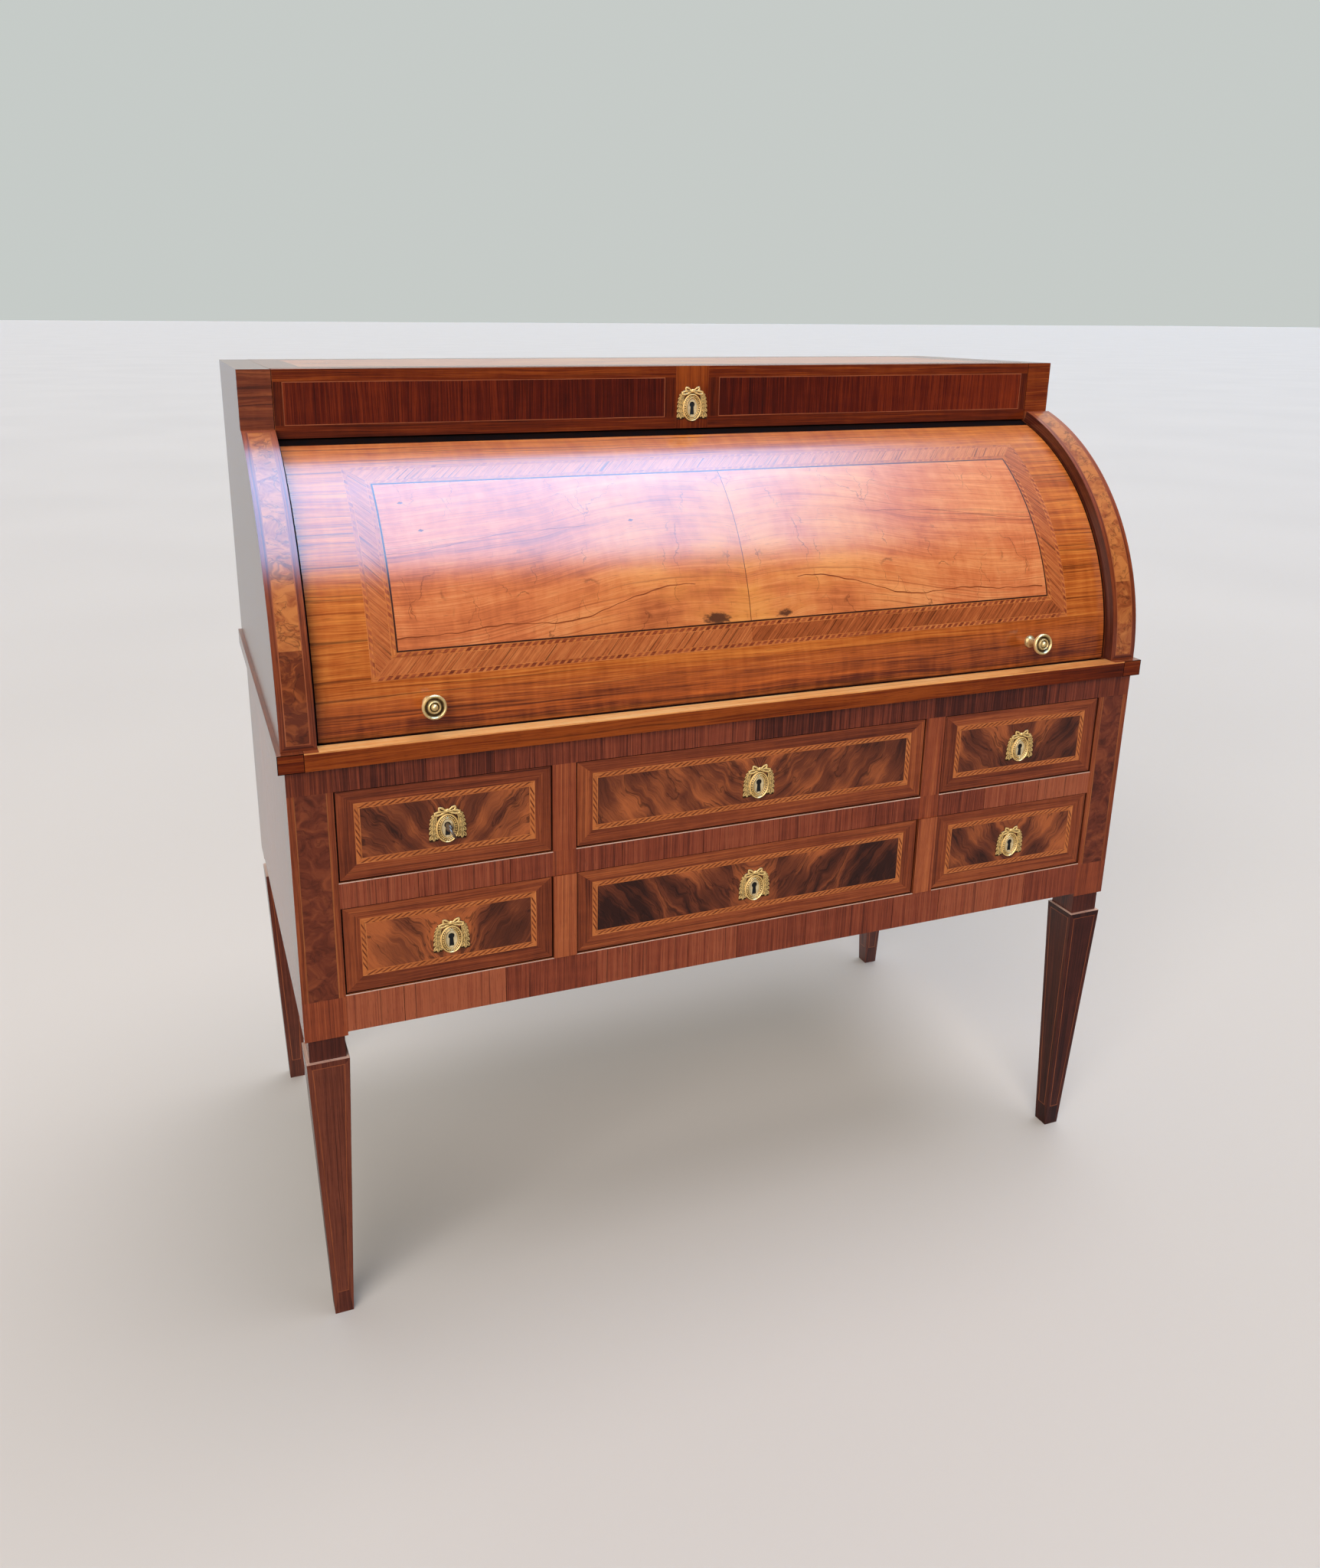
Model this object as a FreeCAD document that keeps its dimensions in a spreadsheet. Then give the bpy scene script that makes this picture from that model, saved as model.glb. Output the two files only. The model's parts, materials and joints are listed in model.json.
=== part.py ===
import FreeCAD
import Part
import Sketcher
import math
import os
from types import SimpleNamespace

# Cylinder desk: tapered legs, two rows of three drawers, a pull-out writing slide,
# a quarter-round front that rolls back into the case and a shallow drawer above it.
# The front faces -Y, +X is to the right, +Z is up and the floor is at zero height.
# Lengths are in millimetres and angles in degrees.

SIZES = {
    # Whole desk
    "desk_width": 1180.0,
    "desk_depth": 590.0,
    # Legs: foot, taper, drawn-in neck and square post
    "post_width": 51.0,
    "foot_width": 23.0,
    "leg_height": 385.0,
    "neck_height": 31.0,
    "neck_inset": 4.0,
    # Lower case, stacked upwards from the bottom of the posts
    "apron_rise": 5.0,
    "bottom_rail_height": 49.5,
    "middle_rail_height": 33.0,
    "top_rail_height": 30.5,
    "drawer_opening_height": 113.0,
    "rail_thickness": 22.0,
    "side_thickness": 22.0,
    "back_thickness": 14.0,
    "runner_board_thickness": 12.0,
    "bed_thickness": 16.0,
    "divider_width": 30.0,
    "divider_offset": 264.5,
    "divider_proud": 2.0,
    "partition_thickness": 16.0,
    # Waist moulding and writing slide
    "moulding_height": 22.0,
    "moulding_projection": 8.0,
    "corner_block_width": 29.0,
    "slide_edge_thickness": 9.0,
    "slide_depth": 322.0,
    "slide_gap": 0.5,
    "tongue_height": 5.0,
    "tongue_drop": 11.0,
    "tongue_depth": 7.0,
    "deck_gap": 3.0,
    # Upper case
    "upper_overhang": 3.0,
    "upper_side_thickness": 40.0,
    "upper_front_setback": 2.0,
    "barrel_rise": 330.0,
    "barrel_ledge": 6.6,
    "frieze_setback": 242.0,
    "frieze_block_height": 71.0,
    "frieze_lip_drop": 11.5,
    "top_thickness": 15.0,
    "frieze_floor_thickness": 6.0,
    # Cylinder shell, arms and pivots
    "shell_recess": 15.5,
    "shell_thickness": 20.0,
    "shell_end_gap": 1.5,
    "shell_sill_gap": 1.5,
    "shell_top_gap": 2.0,
    "shell_top_angle": 77.0,
    "shell_travel_angle": 50.0,
    "pin_radius": 4.0,
    "pin_clearance": 0.05,
    "pin_embedment": 18.0,
    "hub_radius": 9.0,
    "arm_thickness": 5.0,
    "arm_inset": 1.0,
    "arm_width": 20.0,
    "arm_rim_width": 18.0,
    "arm_low_angle": 12.0,
    "arm_high_angle": 66.0,
    "arm_seat_gap": 0.2,
    "arm_rim_margin": 12.0,
    "arm_neighbour_gap": 2.5,
    # Turned knobs
    "knob_inset": 130.0,
    "knob_angle": 6.1,
    "knob_projection": 33.0,
    "knob_disc_radius": 14.5,
    "knob_disc_thickness": 7.0,
    "knob_boss_radius": 4.5,
    "knob_boss_height": 2.0,
    "knob_neck_radius": 5.0,
    "knob_base_radius": 8.5,
    "knob_base_thickness": 4.0,
    "knob_seat_depth": 1.0,
    # Nest of pigeonholes
    "nest_setback": 345.0,
    "nest_back_room": 14.0,
    "nest_shell_clearance": 26.5,
    "nest_board_thickness": 9.0,
    "nest_back_thickness": 6.0,
    # Drawers
    "drawer_front_thickness": 20.0,
    "drawer_setback": 1.5,
    "frieze_front_thickness": 18.0,
    "drawer_gap": 0.8,
    "drawer_run_gap": 0.3,
    "drawer_side_thickness": 10.0,
    "drawer_back_thickness": 8.0,
    "drawer_bottom_thickness": 5.0,
    "drawer_bottom_raise": 3.0,
    "drawer_top_room": 6.0,
    "frieze_top_room": 3.0,
    "drawer_back_room": 40.0,
    # Locks, keyholes and the key
    "keyhole_drop": 2.0,
    "frieze_keyhole_height": 31.5,
    "keyhole_radius": 3.2,
    "keyhole_slot_width": 3.4,
    "keyhole_slot_length": 10.0,
    "lock_width": 46.0,
    "lock_thickness": 11.0,
    "lock_wall": 2.0,
    "lock_tail": 14.0,
    "frieze_lock_margin": 9.0,
    "bolt_width": 22.0,
    "bolt_thickness": 2.8,
    "bolt_gap": 0.4,
    "bolt_start": 12.0,
    "mortise_depth": 9.0,
    "key_shank_radius": 2.7,
    "key_shank_out": 10.0,
    "key_collar_radius": 4.2,
    "key_collar_length": 3.0,
    "key_bow_length": 22.0,
    "key_bow_width": 18.0,
    "key_bow_thickness": 3.0,
    "key_bow_bar": 3.5,
    "key_bit_reach": 8.5,
    "key_bit_thickness": 2.5,
    "key_bit_width": 2.4,
    "key_bit_gap": 0.5,
    "key_tilt": 30.0,
    # Escutcheons
    "plate_thickness": 2.2,
    "plate_width": 27.0,
    "plate_height": 35.0,
    "bow_loop_radius": 5.0,
    "bow_wire_radius": 1.8,
    "bow_rise": 20.0,
    "bow_spread": 6.5,
    "leaf_length": 9.0,
    "leaf_width": 5.5,
    "festoon_width": 18.5,
    "festoon_height": 20.0,
}

NEST_DIVIDERS = 5
LEAVES_PER_SIDE = 5
FESTOON_START_ANGLE = 52.0
FESTOON_END_ANGLE = -48.0
RIGHT_ANGLE = 90.0

doc = FreeCAD.newDocument("CylinderDesk")
sheet = doc.addObject("Spreadsheet::Sheet", "Sizes")
for row, (alias, number) in enumerate(SIZES.items(), start=1):
    sheet.set(f"A{row}", alias)
    sheet.set(f"B{row}", str(number))
    sheet.setAlias(f"B{row}", alias)
doc.recompute()


class Size:
    """A length worked out from the sheet: its value and the expression that keeps it tied there."""

    def __init__(self, value, text):
        self.value = value
        self.text = text

    def joined(self, sign, other, value):
        return Size(value, f"({self.text} {sign} {other.text})")

    def __add__(self, other):
        other = as_size(other)
        return self.joined("+", other, self.value + other.value)

    def __sub__(self, other):
        other = as_size(other)
        return self.joined("-", other, self.value - other.value)

    def __mul__(self, other):
        other = as_size(other)
        return self.joined("*", other, self.value * other.value)

    def __truediv__(self, other):
        other = as_size(other)
        return self.joined("/", other, self.value / other.value)

    def __neg__(self):
        return Size(-self.value, f"(0 - {self.text})")


def as_size(number):
    """A plain count, share or zero as a Size."""
    return number if isinstance(number, Size) else Size(float(number), str(number))


def root(length):
    return Size(math.sqrt(length.value), f"sqrt({length.text})")


def sine(angle):
    return Size(math.sin(math.radians(angle.value)), f"sin({angle.text})")


def cosine(angle):
    return Size(math.cos(math.radians(angle.value)), f"cos({angle.text})")


size = SimpleNamespace(**{alias: Size(number, f"Sizes.{alias}") for alias, number in SIZES.items()})
ZERO = as_size(0)
X_AXIS = FreeCAD.Vector(1, 0, 0)
Y_AXIS = FreeCAD.Vector(0, 1, 0)
Z_AXIS = FreeCAD.Vector(0, 0, 1)
NODES = []


# Helpers that make and bind the pieces

def bind(thing, prop, length):
    thing.setExpression(prop, length.text)


def node(name, thing):
    """Give a finished sub-part its own name and remember it for the export."""
    thing.Label = name
    NODES.append(thing)
    return thing


def place(thing, x=ZERO, y=ZERO, z=ZERO):
    for axis, length in zip("xyz", (x, y, z)):
        bind(thing, f"Placement.Base.{axis}", length)
    return thing


def board(x, y, z):
    """A rectangular board; x, y and z are pairs of low and high faces."""
    box = doc.addObject("Part::Box", "board")
    for prop, span in zip(("Length", "Width", "Height"), (x, y, z)):
        bind(box, prop, span[1] - span[0])
    return place(box, x[0], y[0], z[0])


def rod(radius, length, axis, angle, x, y, z):
    """A round rod that starts at (x, y, z) and runs along +Z turned by the angle about the axis."""
    cylinder = doc.addObject("Part::Cylinder", "rod")
    bind(cylinder, "Radius", radius)
    bind(cylinder, "Height", length)
    cylinder.Placement.Rotation = FreeCAD.Rotation(axis, angle)
    return place(cylinder, x, y, z)


def rod_along_x(radius, x, y, z):
    return rod(radius, x[1] - x[0], Y_AXIS, RIGHT_ANGLE, x[0], y, z)


def rod_along_y(radius, x, y, z):
    return rod(radius, y[1] - y[0], X_AXIS, RIGHT_ANGLE, x, y[1], z)


def group(pieces):
    compound = doc.addObject("Part::Compound", "group")
    compound.Links = pieces
    return compound


def turned(thing, axis, angle):
    """The thing turned about an axis through the origin, by an angle from the sheet."""
    holder = group([thing])
    holder.Placement.Rotation = FreeCAD.Rotation(axis, angle.value)
    bind(holder, "Placement.Rotation.Angle", angle)
    return holder


def cut(base, tools):
    result = doc.addObject("Part::Cut", "cut")
    result.Base = base
    result.Tool = group(tools)
    return result


def fuse(pieces):
    result = doc.addObject("Part::MultiFuse", "fuse")
    result.Shapes = pieces
    return result


def new_body(name):
    return doc.addObject("PartDesign::Body", name)


def sketch_on(body, role, lift=ZERO):
    """An empty sketch on one of the body's own origin planes, lifted along its normal."""
    sketch = body.newObject("Sketcher::SketchObject", "outline")
    plane = next(item for item in body.Origin.OriginFeatures if item.Role == role)
    sketch.AttachmentSupport = [(plane, "")]
    sketch.MapMode = "FlatFace"
    bind(sketch, "AttachmentOffset.Base.z", lift)
    return sketch


def dimension(sketch, kind, owner, value):
    """Add one dimension to the sketch and tie it to the sheet."""
    index = sketch.addConstraint(Sketcher.Constraint(kind, *owner, value.value))
    bind(sketch, f"Constraints[{index}]", value)


def outline(sketch, points):
    """A closed outline through (across, up) points.

    A point with a third entry starts an arc of that radius, centred on the sketch's origin; other
    stretches are straight.  Points on an arc are held by their height and the radius.
    """
    count = len(points)
    arcs = {number: radius for number, (_, _, *rest) in enumerate(points) for radius in rest}
    corners = [FreeCAD.Vector(across.value, up.value, 0) for across, up, *_ in points]
    first_end = {}
    for number, start in enumerate(corners):
        stop = corners[(number + 1) % count]
        if number in arcs:
            low, high = sorted((math.atan2(start.y, start.x), math.atan2(stop.y, stop.x)))
            circle = Part.Circle(FreeCAD.Vector(), Z_AXIS, arcs[number].value)
            sketch.addGeometry(Part.ArcOfCircle(circle, low, high))
            first_end[number] = 1 if math.isclose(low, math.atan2(start.y, start.x)) else 2
        else:
            sketch.addGeometry(Part.LineSegment(start, stop))
            first_end[number] = 1
    for number in range(count):
        after = (number + 1) % count
        meet = (number, 3 - first_end[number], after, first_end[after])
        sketch.addConstraint(Sketcher.Constraint("Coincident", *meet))
    for number, radius in arcs.items():
        sketch.addConstraint(Sketcher.Constraint("Coincident", number, 3, -1, 1))
        dimension(sketch, "Radius", (number,), radius)
    for number, (across, up, *_) in enumerate(points):
        corner = (-1, 1, number, first_end[number])
        dimension(sketch, "DistanceY", corner, up)
        if number not in arcs and (number - 1) % count not in arcs:
            dimension(sketch, "DistanceX", corner, across)
    return sketch


def pad(body, sketch, length):
    feature = body.newObject("PartDesign::Pad", "pad")
    feature.Profile = sketch
    bind(feature, "Length", length)
    return feature


def square(half):
    return [(-half, -half), (half, -half), (half, half), (-half, half)]


# Levels, upwards from the floor

post_bottom = size.leg_height + size.neck_height
apron_bottom = post_bottom + size.apron_rise
lower_opening_bottom = apron_bottom + size.bottom_rail_height
lower_opening_top = lower_opening_bottom + size.drawer_opening_height
upper_opening_bottom = lower_opening_top + size.middle_rail_height
upper_opening_top = upper_opening_bottom + size.drawer_opening_height
waist_bottom = upper_opening_top + size.top_rail_height
writing_level = waist_bottom + size.moulding_height
frieze_bottom = writing_level + size.barrel_rise
desk_top = frieze_bottom + size.frieze_block_height
frieze_lip = frieze_bottom - size.frieze_lip_drop
top_underside = desk_top - size.top_thickness

# Planes from front to back; the key stands furthest forward and sets the middle of the whole

key_reach = size.key_shank_out + size.key_bow_length
front = (key_reach - size.desk_depth) / 2
back = front + size.desk_depth
back_inside = back - size.back_thickness
rail_back = front + size.rail_thickness
moulding_front = front - size.moulding_projection
upper_front = front + size.upper_front_setback
frieze_front = front + size.frieze_setback
frieze_front_back = frieze_front + size.frieze_front_thickness

# Planes from the middle outwards

post_outer = size.desk_width / 2
post_inner = post_outer - size.post_width
panel_inner = post_outer - size.side_thickness
upper_outer = post_outer + size.upper_overhang
upper_inner = upper_outer - size.upper_side_thickness
moulding_outer = post_outer + size.moulding_projection
divider_inner = size.divider_offset - size.divider_width / 2
divider_outer = size.divider_offset + size.divider_width / 2

# The quarter round: its edge starts upright at the writing level and meets the frieze block

barrel_run = size.frieze_setback - size.barrel_ledge - size.upper_front_setback
barrel_radius = (barrel_run * barrel_run + size.barrel_rise * size.barrel_rise) / (barrel_run * 2)
pivot_y = upper_front + barrel_radius
pivot_z = writing_level
shell_radius = barrel_radius - size.shell_recess
shell_inside = shell_radius - size.shell_thickness
shell_half = upper_inner - size.shell_end_gap
arm_outer = shell_half - size.arm_inset
arm_inner = arm_outer - size.arm_thickness
room_half = arm_inner - size.arm_neighbour_gap

SIDES = (("left", -1), ("right", 1))


def mirrored(sign, low, high):
    """The span from low to high, counted outwards on the side that the sign names."""
    return (low, high) if sign > 0 else (-high, -low)


# Legs

def leg(name, x, y):
    """Tapered foot, drawn-in neck and square post, in one length of wood."""
    body = new_body("leg")
    half_post = size.post_width / 2
    foot = outline(sketch_on(body, "XY_Plane"), square(size.foot_width / 2))
    cap = outline(sketch_on(body, "XY_Plane", size.leg_height), square(half_post))
    taper = body.newObject("PartDesign::AdditiveLoft", "taper")
    taper.Profile = foot
    taper.Sections = [cap]
    neck = outline(sketch_on(body, "XY_Plane", size.leg_height), square(half_post - size.neck_inset))
    pad(body, neck, size.neck_height)
    post = outline(sketch_on(body, "XY_Plane", post_bottom), square(half_post))
    pad(body, post, waist_bottom - post_bottom)
    node(name, place(body, x, y))


leg_x = post_outer - size.post_width / 2
for side, sign in SIDES:
    leg(f"front_{side}_leg", leg_x * sign, front + size.post_width / 2)
    leg(f"back_{side}_leg", leg_x * sign, back - size.post_width / 2)

# Lower case: sides, back, bed, boards that the drawers run on, and partitions

between_posts = (-post_inner, post_inner)
for side, sign in SIDES:
    panel = board(mirrored(sign, panel_inner, post_outer),
                  (front + size.post_width, back - size.post_width), (apron_bottom, waist_bottom))
    node(f"lower_{side}_side", panel)
node("lower_back_panel", board(between_posts, (back_inside, back), (apron_bottom, waist_bottom)))

case_depth = (rail_back, back_inside)


def inner_board(name, z):
    """A board inside the lower case, out to the side panels and notched round the posts."""
    sheet_board = board((-panel_inner, panel_inner), case_depth, z)
    notches = [board(mirrored(sign, post_inner, post_outer), depth, z)
               for _, sign in SIDES
               for depth in ((front, front + size.post_width), (back - size.post_width, back))]
    node(name, cut(sheet_board, notches))


bed = (waist_bottom - size.bed_thickness, waist_bottom)
middle_runner = (upper_opening_bottom - size.runner_board_thickness, upper_opening_bottom)
bottom_runner = (lower_opening_bottom - size.runner_board_thickness, lower_opening_bottom)
inner_board("carcass_top", bed)
inner_board("middle_dust_board", middle_runner)
inner_board("bottom_board", bottom_runner)

partitions = [board((size.divider_offset * sign - size.partition_thickness / 2,
                     size.divider_offset * sign + size.partition_thickness / 2), case_depth, z)
              for _, sign in SIDES
              for z in ((lower_opening_bottom, middle_runner[0]), (upper_opening_bottom, bed[0]))]
node("drawer_partitions", group(partitions))

# Front frame: rails with a mortise over each lock, and dividers between the drawers

COLUMNS = (("left", -post_inner, -divider_outer),
           ("middle", -divider_inner, divider_inner),
           ("right", divider_outer, post_inner))
ROWS = (("upper", upper_opening_bottom), ("lower", lower_opening_bottom))
belt_front_y = (front + size.drawer_setback, front + size.drawer_setback + size.drawer_front_thickness)
lock_back = belt_front_y[1]
bolt_high = lock_back - size.lock_wall - size.bolt_gap
bolt_low = bolt_high - size.bolt_thickness
front_planes = (front, rail_back)


def middle_of(span):
    return (span[0] + span[1]) / 2


def around(middle, width):
    return (middle - width / 2, middle + width / 2)


def mortised_rail(name, z):
    """A front rail with a bolt mortise in its underside over the middle of each drawer."""
    depth = (bolt_low - size.bolt_gap, bolt_high + size.bolt_gap)
    slots = [board(around(middle_of(column[1:]), size.bolt_width + size.bolt_gap * 2), depth,
                   (z[0], z[0] + size.mortise_depth)) for column in COLUMNS]
    node(name, cut(board(between_posts, front_planes, z), slots))


mortised_rail("front_top_rail", (upper_opening_top, waist_bottom))
mortised_rail("front_middle_rail", (lower_opening_top, upper_opening_bottom))
node("front_bottom_rail", board(between_posts, front_planes, (apron_bottom, lower_opening_bottom)))

upper_stiles = [board(mirrored(sign, divider_inner, divider_outer), front_planes,
                      (upper_opening_bottom, upper_opening_top)) for _, sign in SIDES]
lower_stiles = [board(mirrored(sign, divider_inner, divider_outer),
                      (front - size.divider_proud, rail_back),
                      (lower_opening_bottom, lower_opening_top)) for _, sign in SIDES]
node("drawer_dividers", group(upper_stiles + lower_stiles))

# Waist moulding: a corner block in front of each side and a strip along it

corner_inner = moulding_outer - size.corner_block_width
for side, sign in SIDES:
    body = new_body("waist")
    plan = [(corner_inner, moulding_front), (moulding_outer, moulding_front), (moulding_outer, back),
            (upper_outer, back), (upper_outer, upper_front), (corner_inner, upper_front)]
    sketch = outline(sketch_on(body, "XY_Plane"), [(x * sign, y) for x, y in plan])
    pad(body, sketch, size.moulding_height)
    node(f"{side}_waist_moulding", place(body, z=waist_bottom))

# Writing slide: board with tongues and a lipped front edge

slide_board_front = moulding_front + size.slide_edge_thickness
slide_board_back = slide_board_front + size.slide_depth
slide_underside = waist_bottom + size.slide_gap
edge_half = corner_inner - size.slide_gap
tongue_top = writing_level - size.tongue_drop
tongue_z = (tongue_top - size.tongue_height, tongue_top)
tongue_half = upper_inner + size.tongue_depth
slide_y = (slide_board_front, slide_board_back)
tongues = [board(mirrored(sign, room_half, tongue_half), slide_y, tongue_z) for _, sign in SIDES]
slide_board = board((-room_half, room_half), slide_y, (slide_underside, writing_level))
node("writing_slide", group([slide_board] + tongues))
node("slide_front_edge", board((-edge_half, edge_half), (moulding_front, slide_board_front),
                               (slide_underside, writing_level)))
deck_front = slide_board_back + size.deck_gap

# Upper sides: quarter-round front edge, frieze block, slide groove and pivot bore

ledge_height = frieze_bottom - pivot_z
side_outline = [
    (upper_front - pivot_y, waist_bottom - pivot_z),
    (back - pivot_y, waist_bottom - pivot_z),
    (back - pivot_y, desk_top - pivot_z),
    (frieze_front - pivot_y, desk_top - pivot_z),
    (frieze_front - pivot_y, ledge_height),
    (barrel_run - barrel_radius, ledge_height, barrel_radius),
    (-barrel_radius, ZERO)]
groove_z = (tongue_z[0] - size.slide_gap, tongue_z[1] + size.slide_gap)
groove_depth = size.tongue_depth + size.slide_gap
pin_x = (arm_inner, upper_inner + size.pin_embedment)
for side, sign in SIDES:
    body = new_body("upper_side")
    sketch = outline(sketch_on(body, "YZ_Plane"), side_outline)
    pad(body, sketch, size.upper_side_thickness)
    place(body, mirrored(sign, upper_inner, upper_outer)[0], pivot_y, pivot_z)
    groove = board(mirrored(sign, upper_inner, upper_inner + groove_depth),
                   (upper_front, deck_front), groove_z)
    bore = rod_along_x(size.pin_radius, mirrored(sign, *pin_x), pivot_y, pivot_z)
    node(f"upper_{side}_side", cut(body, [groove, bore]))
pins = [rod_along_x(size.pin_radius, mirrored(sign, *pin_x), pivot_y, pivot_z) for _, sign in SIDES]
node("pivot_pins", group(pins))

between_sides = (-upper_inner, upper_inner)
node("upper_back_panel", board(between_sides, (back_inside, back), (waist_bottom, top_underside)))
node("top_board", board(between_sides, (frieze_front_back, back), (top_underside, desk_top)))
frieze_floor_low = pivot_z + shell_radius + size.shell_top_gap
frieze_floor_top = frieze_floor_low + size.frieze_floor_thickness
node("frieze_dust_board", board(between_sides, (frieze_front_back + size.shell_top_gap, back_inside),
                                (frieze_floor_low, frieze_floor_top)))

# Cylinder shell and the arms that carry it on the pivot pins


def ring_stretch(name, outer, inner, low, high_angle):
    """A stretch of ring about the pivot, from a level underside up to an angle above the horizontal."""
    body = new_body(name)
    points = [
        (-root(outer * outer - low * low), low, outer),
        (-(outer * cosine(high_angle)), outer * sine(high_angle)),
        (-(inner * cosine(high_angle)), inner * sine(high_angle), inner),
        (-root(inner * inner - low * low), low)]
    return body, outline(sketch_on(body, "YZ_Plane"), points)


shell, sketch = ring_stretch("shell", shell_radius, shell_inside, size.shell_sill_gap, size.shell_top_angle)
pad(shell, sketch, shell_half * 2)
node("cylinder_shell", place(shell, -shell_half, pivot_y, pivot_z))

rim_outer = shell_inside - size.arm_seat_gap
rim_inner = rim_outer - size.arm_rim_width
plate_x = (ZERO, size.arm_thickness)


def cylinder_arm(sign):
    """Iron arm: a rim under the shell, two spokes and a hub bored for the pivot pin."""
    rim, rim_sketch = ring_stretch("rim", rim_outer, rim_inner, size.arm_rim_margin, size.shell_top_angle)
    pad(rim, rim_sketch, size.arm_thickness)
    spoke_y = (-(rim_inner + size.arm_rim_width / 2), ZERO)
    spokes = [turned(board(plate_x, spoke_y, around(ZERO, size.arm_width)), X_AXIS, -angle)
              for angle in (size.arm_low_angle, size.arm_high_angle)]
    hub = rod_along_x(size.hub_radius, plate_x, ZERO, ZERO)
    bore = rod_along_x(size.pin_radius + size.pin_clearance, plate_x, ZERO, ZERO)
    arm = group([cut(fuse([rim, hub] + spokes), [bore])])
    return place(arm, mirrored(sign, arm_inner, arm_outer)[0], pivot_y, pivot_z)


node("cylinder_arms", group([cylinder_arm(sign) for _, sign in SIDES]))


def turned_knob(name, x):
    """Brass knob turned about its own axis and set square to the curve of the shell."""
    body = new_body("knob")
    tip = size.knob_projection
    face = tip - size.knob_boss_height
    disc_back = face - size.knob_disc_thickness
    seat = -size.knob_seat_depth
    points = [(ZERO, seat), (size.knob_base_radius, seat), (size.knob_base_radius, size.knob_base_thickness),
              (size.knob_neck_radius, size.knob_base_thickness * 2), (size.knob_neck_radius, disc_back),
              (size.knob_disc_radius, disc_back + size.knob_disc_thickness / 2),
              (size.knob_disc_radius, face), (size.knob_boss_radius, face),
              (size.knob_boss_radius, tip), (ZERO, tip)]
    sketch = outline(sketch_on(body, "XZ_Plane"), points)
    spin = body.newObject("PartDesign::Revolution", "spin")
    spin.Profile = sketch
    spin.ReferenceAxis = (sketch, ["V_Axis"])
    tilted = turned(body, X_AXIS, as_size(RIGHT_ANGLE) - size.knob_angle)
    place(tilted, x, pivot_y - shell_radius * cosine(size.knob_angle),
          pivot_z + shell_radius * sine(size.knob_angle))
    clear = rod_along_x(shell_radius, around(x, size.knob_disc_radius * 2), pivot_y, pivot_z)
    node(name, cut(tilted, [clear]))


for side, sign in SIDES:
    turned_knob(f"{side}_cylinder_knob", (shell_half - size.knob_inset) * sign)

# Nest of pigeonholes inside the sweep of the shell, on a fixed deck behind the slide

nest_front = front + size.nest_setback
nest_back = back_inside - size.nest_back_room
opened_edge = shell_inside * sine(size.shell_top_angle + size.shell_travel_angle)
nest_top = writing_level + opened_edge - size.nest_shell_clearance
upright_z = (writing_level, nest_top - size.nest_board_thickness)
upright_y = (nest_front, nest_back - size.nest_back_thickness)
nest_step = (room_half * 2 - size.nest_board_thickness) / (NEST_DIVIDERS + 1)
nest_boards = [board((-room_half + nest_step * number,
                      -room_half + nest_step * number + size.nest_board_thickness), upright_y, upright_z)
               for number in range(NEST_DIVIDERS + 2)]
nest_boards.append(board((-room_half, room_half), (nest_front, nest_back), (upright_z[1], nest_top)))
nest_boards.append(board((-room_half, room_half), (upright_y[1], nest_back), upright_z))
nest_boards.append(board((-room_half, room_half), (deck_front, back_inside), (waist_bottom, writing_level)))
node("interior_nest", group(nest_boards))

# Drawers


def keyhole(x, y, z):
    """Cutting tool for a keyhole: a round eye with a slot below it."""
    slot = board(around(x, size.keyhole_slot_width), y, (z - size.keyhole_slot_length, z))
    return [rod_along_y(size.keyhole_radius, x, y, z), slot]


def drawer_box(name, x, y, z):
    """Two sides, a back and a bottom as separate boards."""
    inside_x = (x[0] + size.drawer_side_thickness, x[1] - size.drawer_side_thickness)
    back_board_front = y[1] - size.drawer_back_thickness
    floor_low = z[0] + size.drawer_bottom_raise
    floor_top = floor_low + size.drawer_bottom_thickness
    node(name, group([
        board((x[0], inside_x[0]), y, z),
        board((inside_x[1], x[1]), y, z),
        board(inside_x, (back_board_front, y[1]), z),
        board(inside_x, (y[0], back_board_front), (floor_low, floor_top))]))


def lock_case(x, y, keyhole_z, z, bolt_up):
    """Thin hollow lock case let into the back of a drawer front, and the room that its bolt fills."""
    case_x = around(x, size.lock_width)
    wall = size.lock_wall
    hollow = board(*[(span[0] + wall, span[1] - wall) for span in (case_x, y, z)])
    bolt_y = (y[1] - wall - size.bolt_gap - size.bolt_thickness, y[1] - wall - size.bolt_gap)
    bolt_z = (keyhole_z + size.bolt_start, z[1]) if bolt_up else (z[0], keyhole_z - size.bolt_start / 2)
    slot_z = (z[1] - wall, z[1]) if bolt_up else (z[0], z[0] + wall)
    slot = board(around(x, size.bolt_width + size.bolt_gap * 2),
                 (bolt_y[0] - size.bolt_gap, bolt_y[1] + size.bolt_gap), slot_z)
    case = cut(board(case_x, y, z), [hollow, slot] + keyhole(x, (y[0], y[0] + wall), keyhole_z))
    bolt = board(around(x, size.bolt_width), bolt_y, bolt_z)
    return case, bolt


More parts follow.
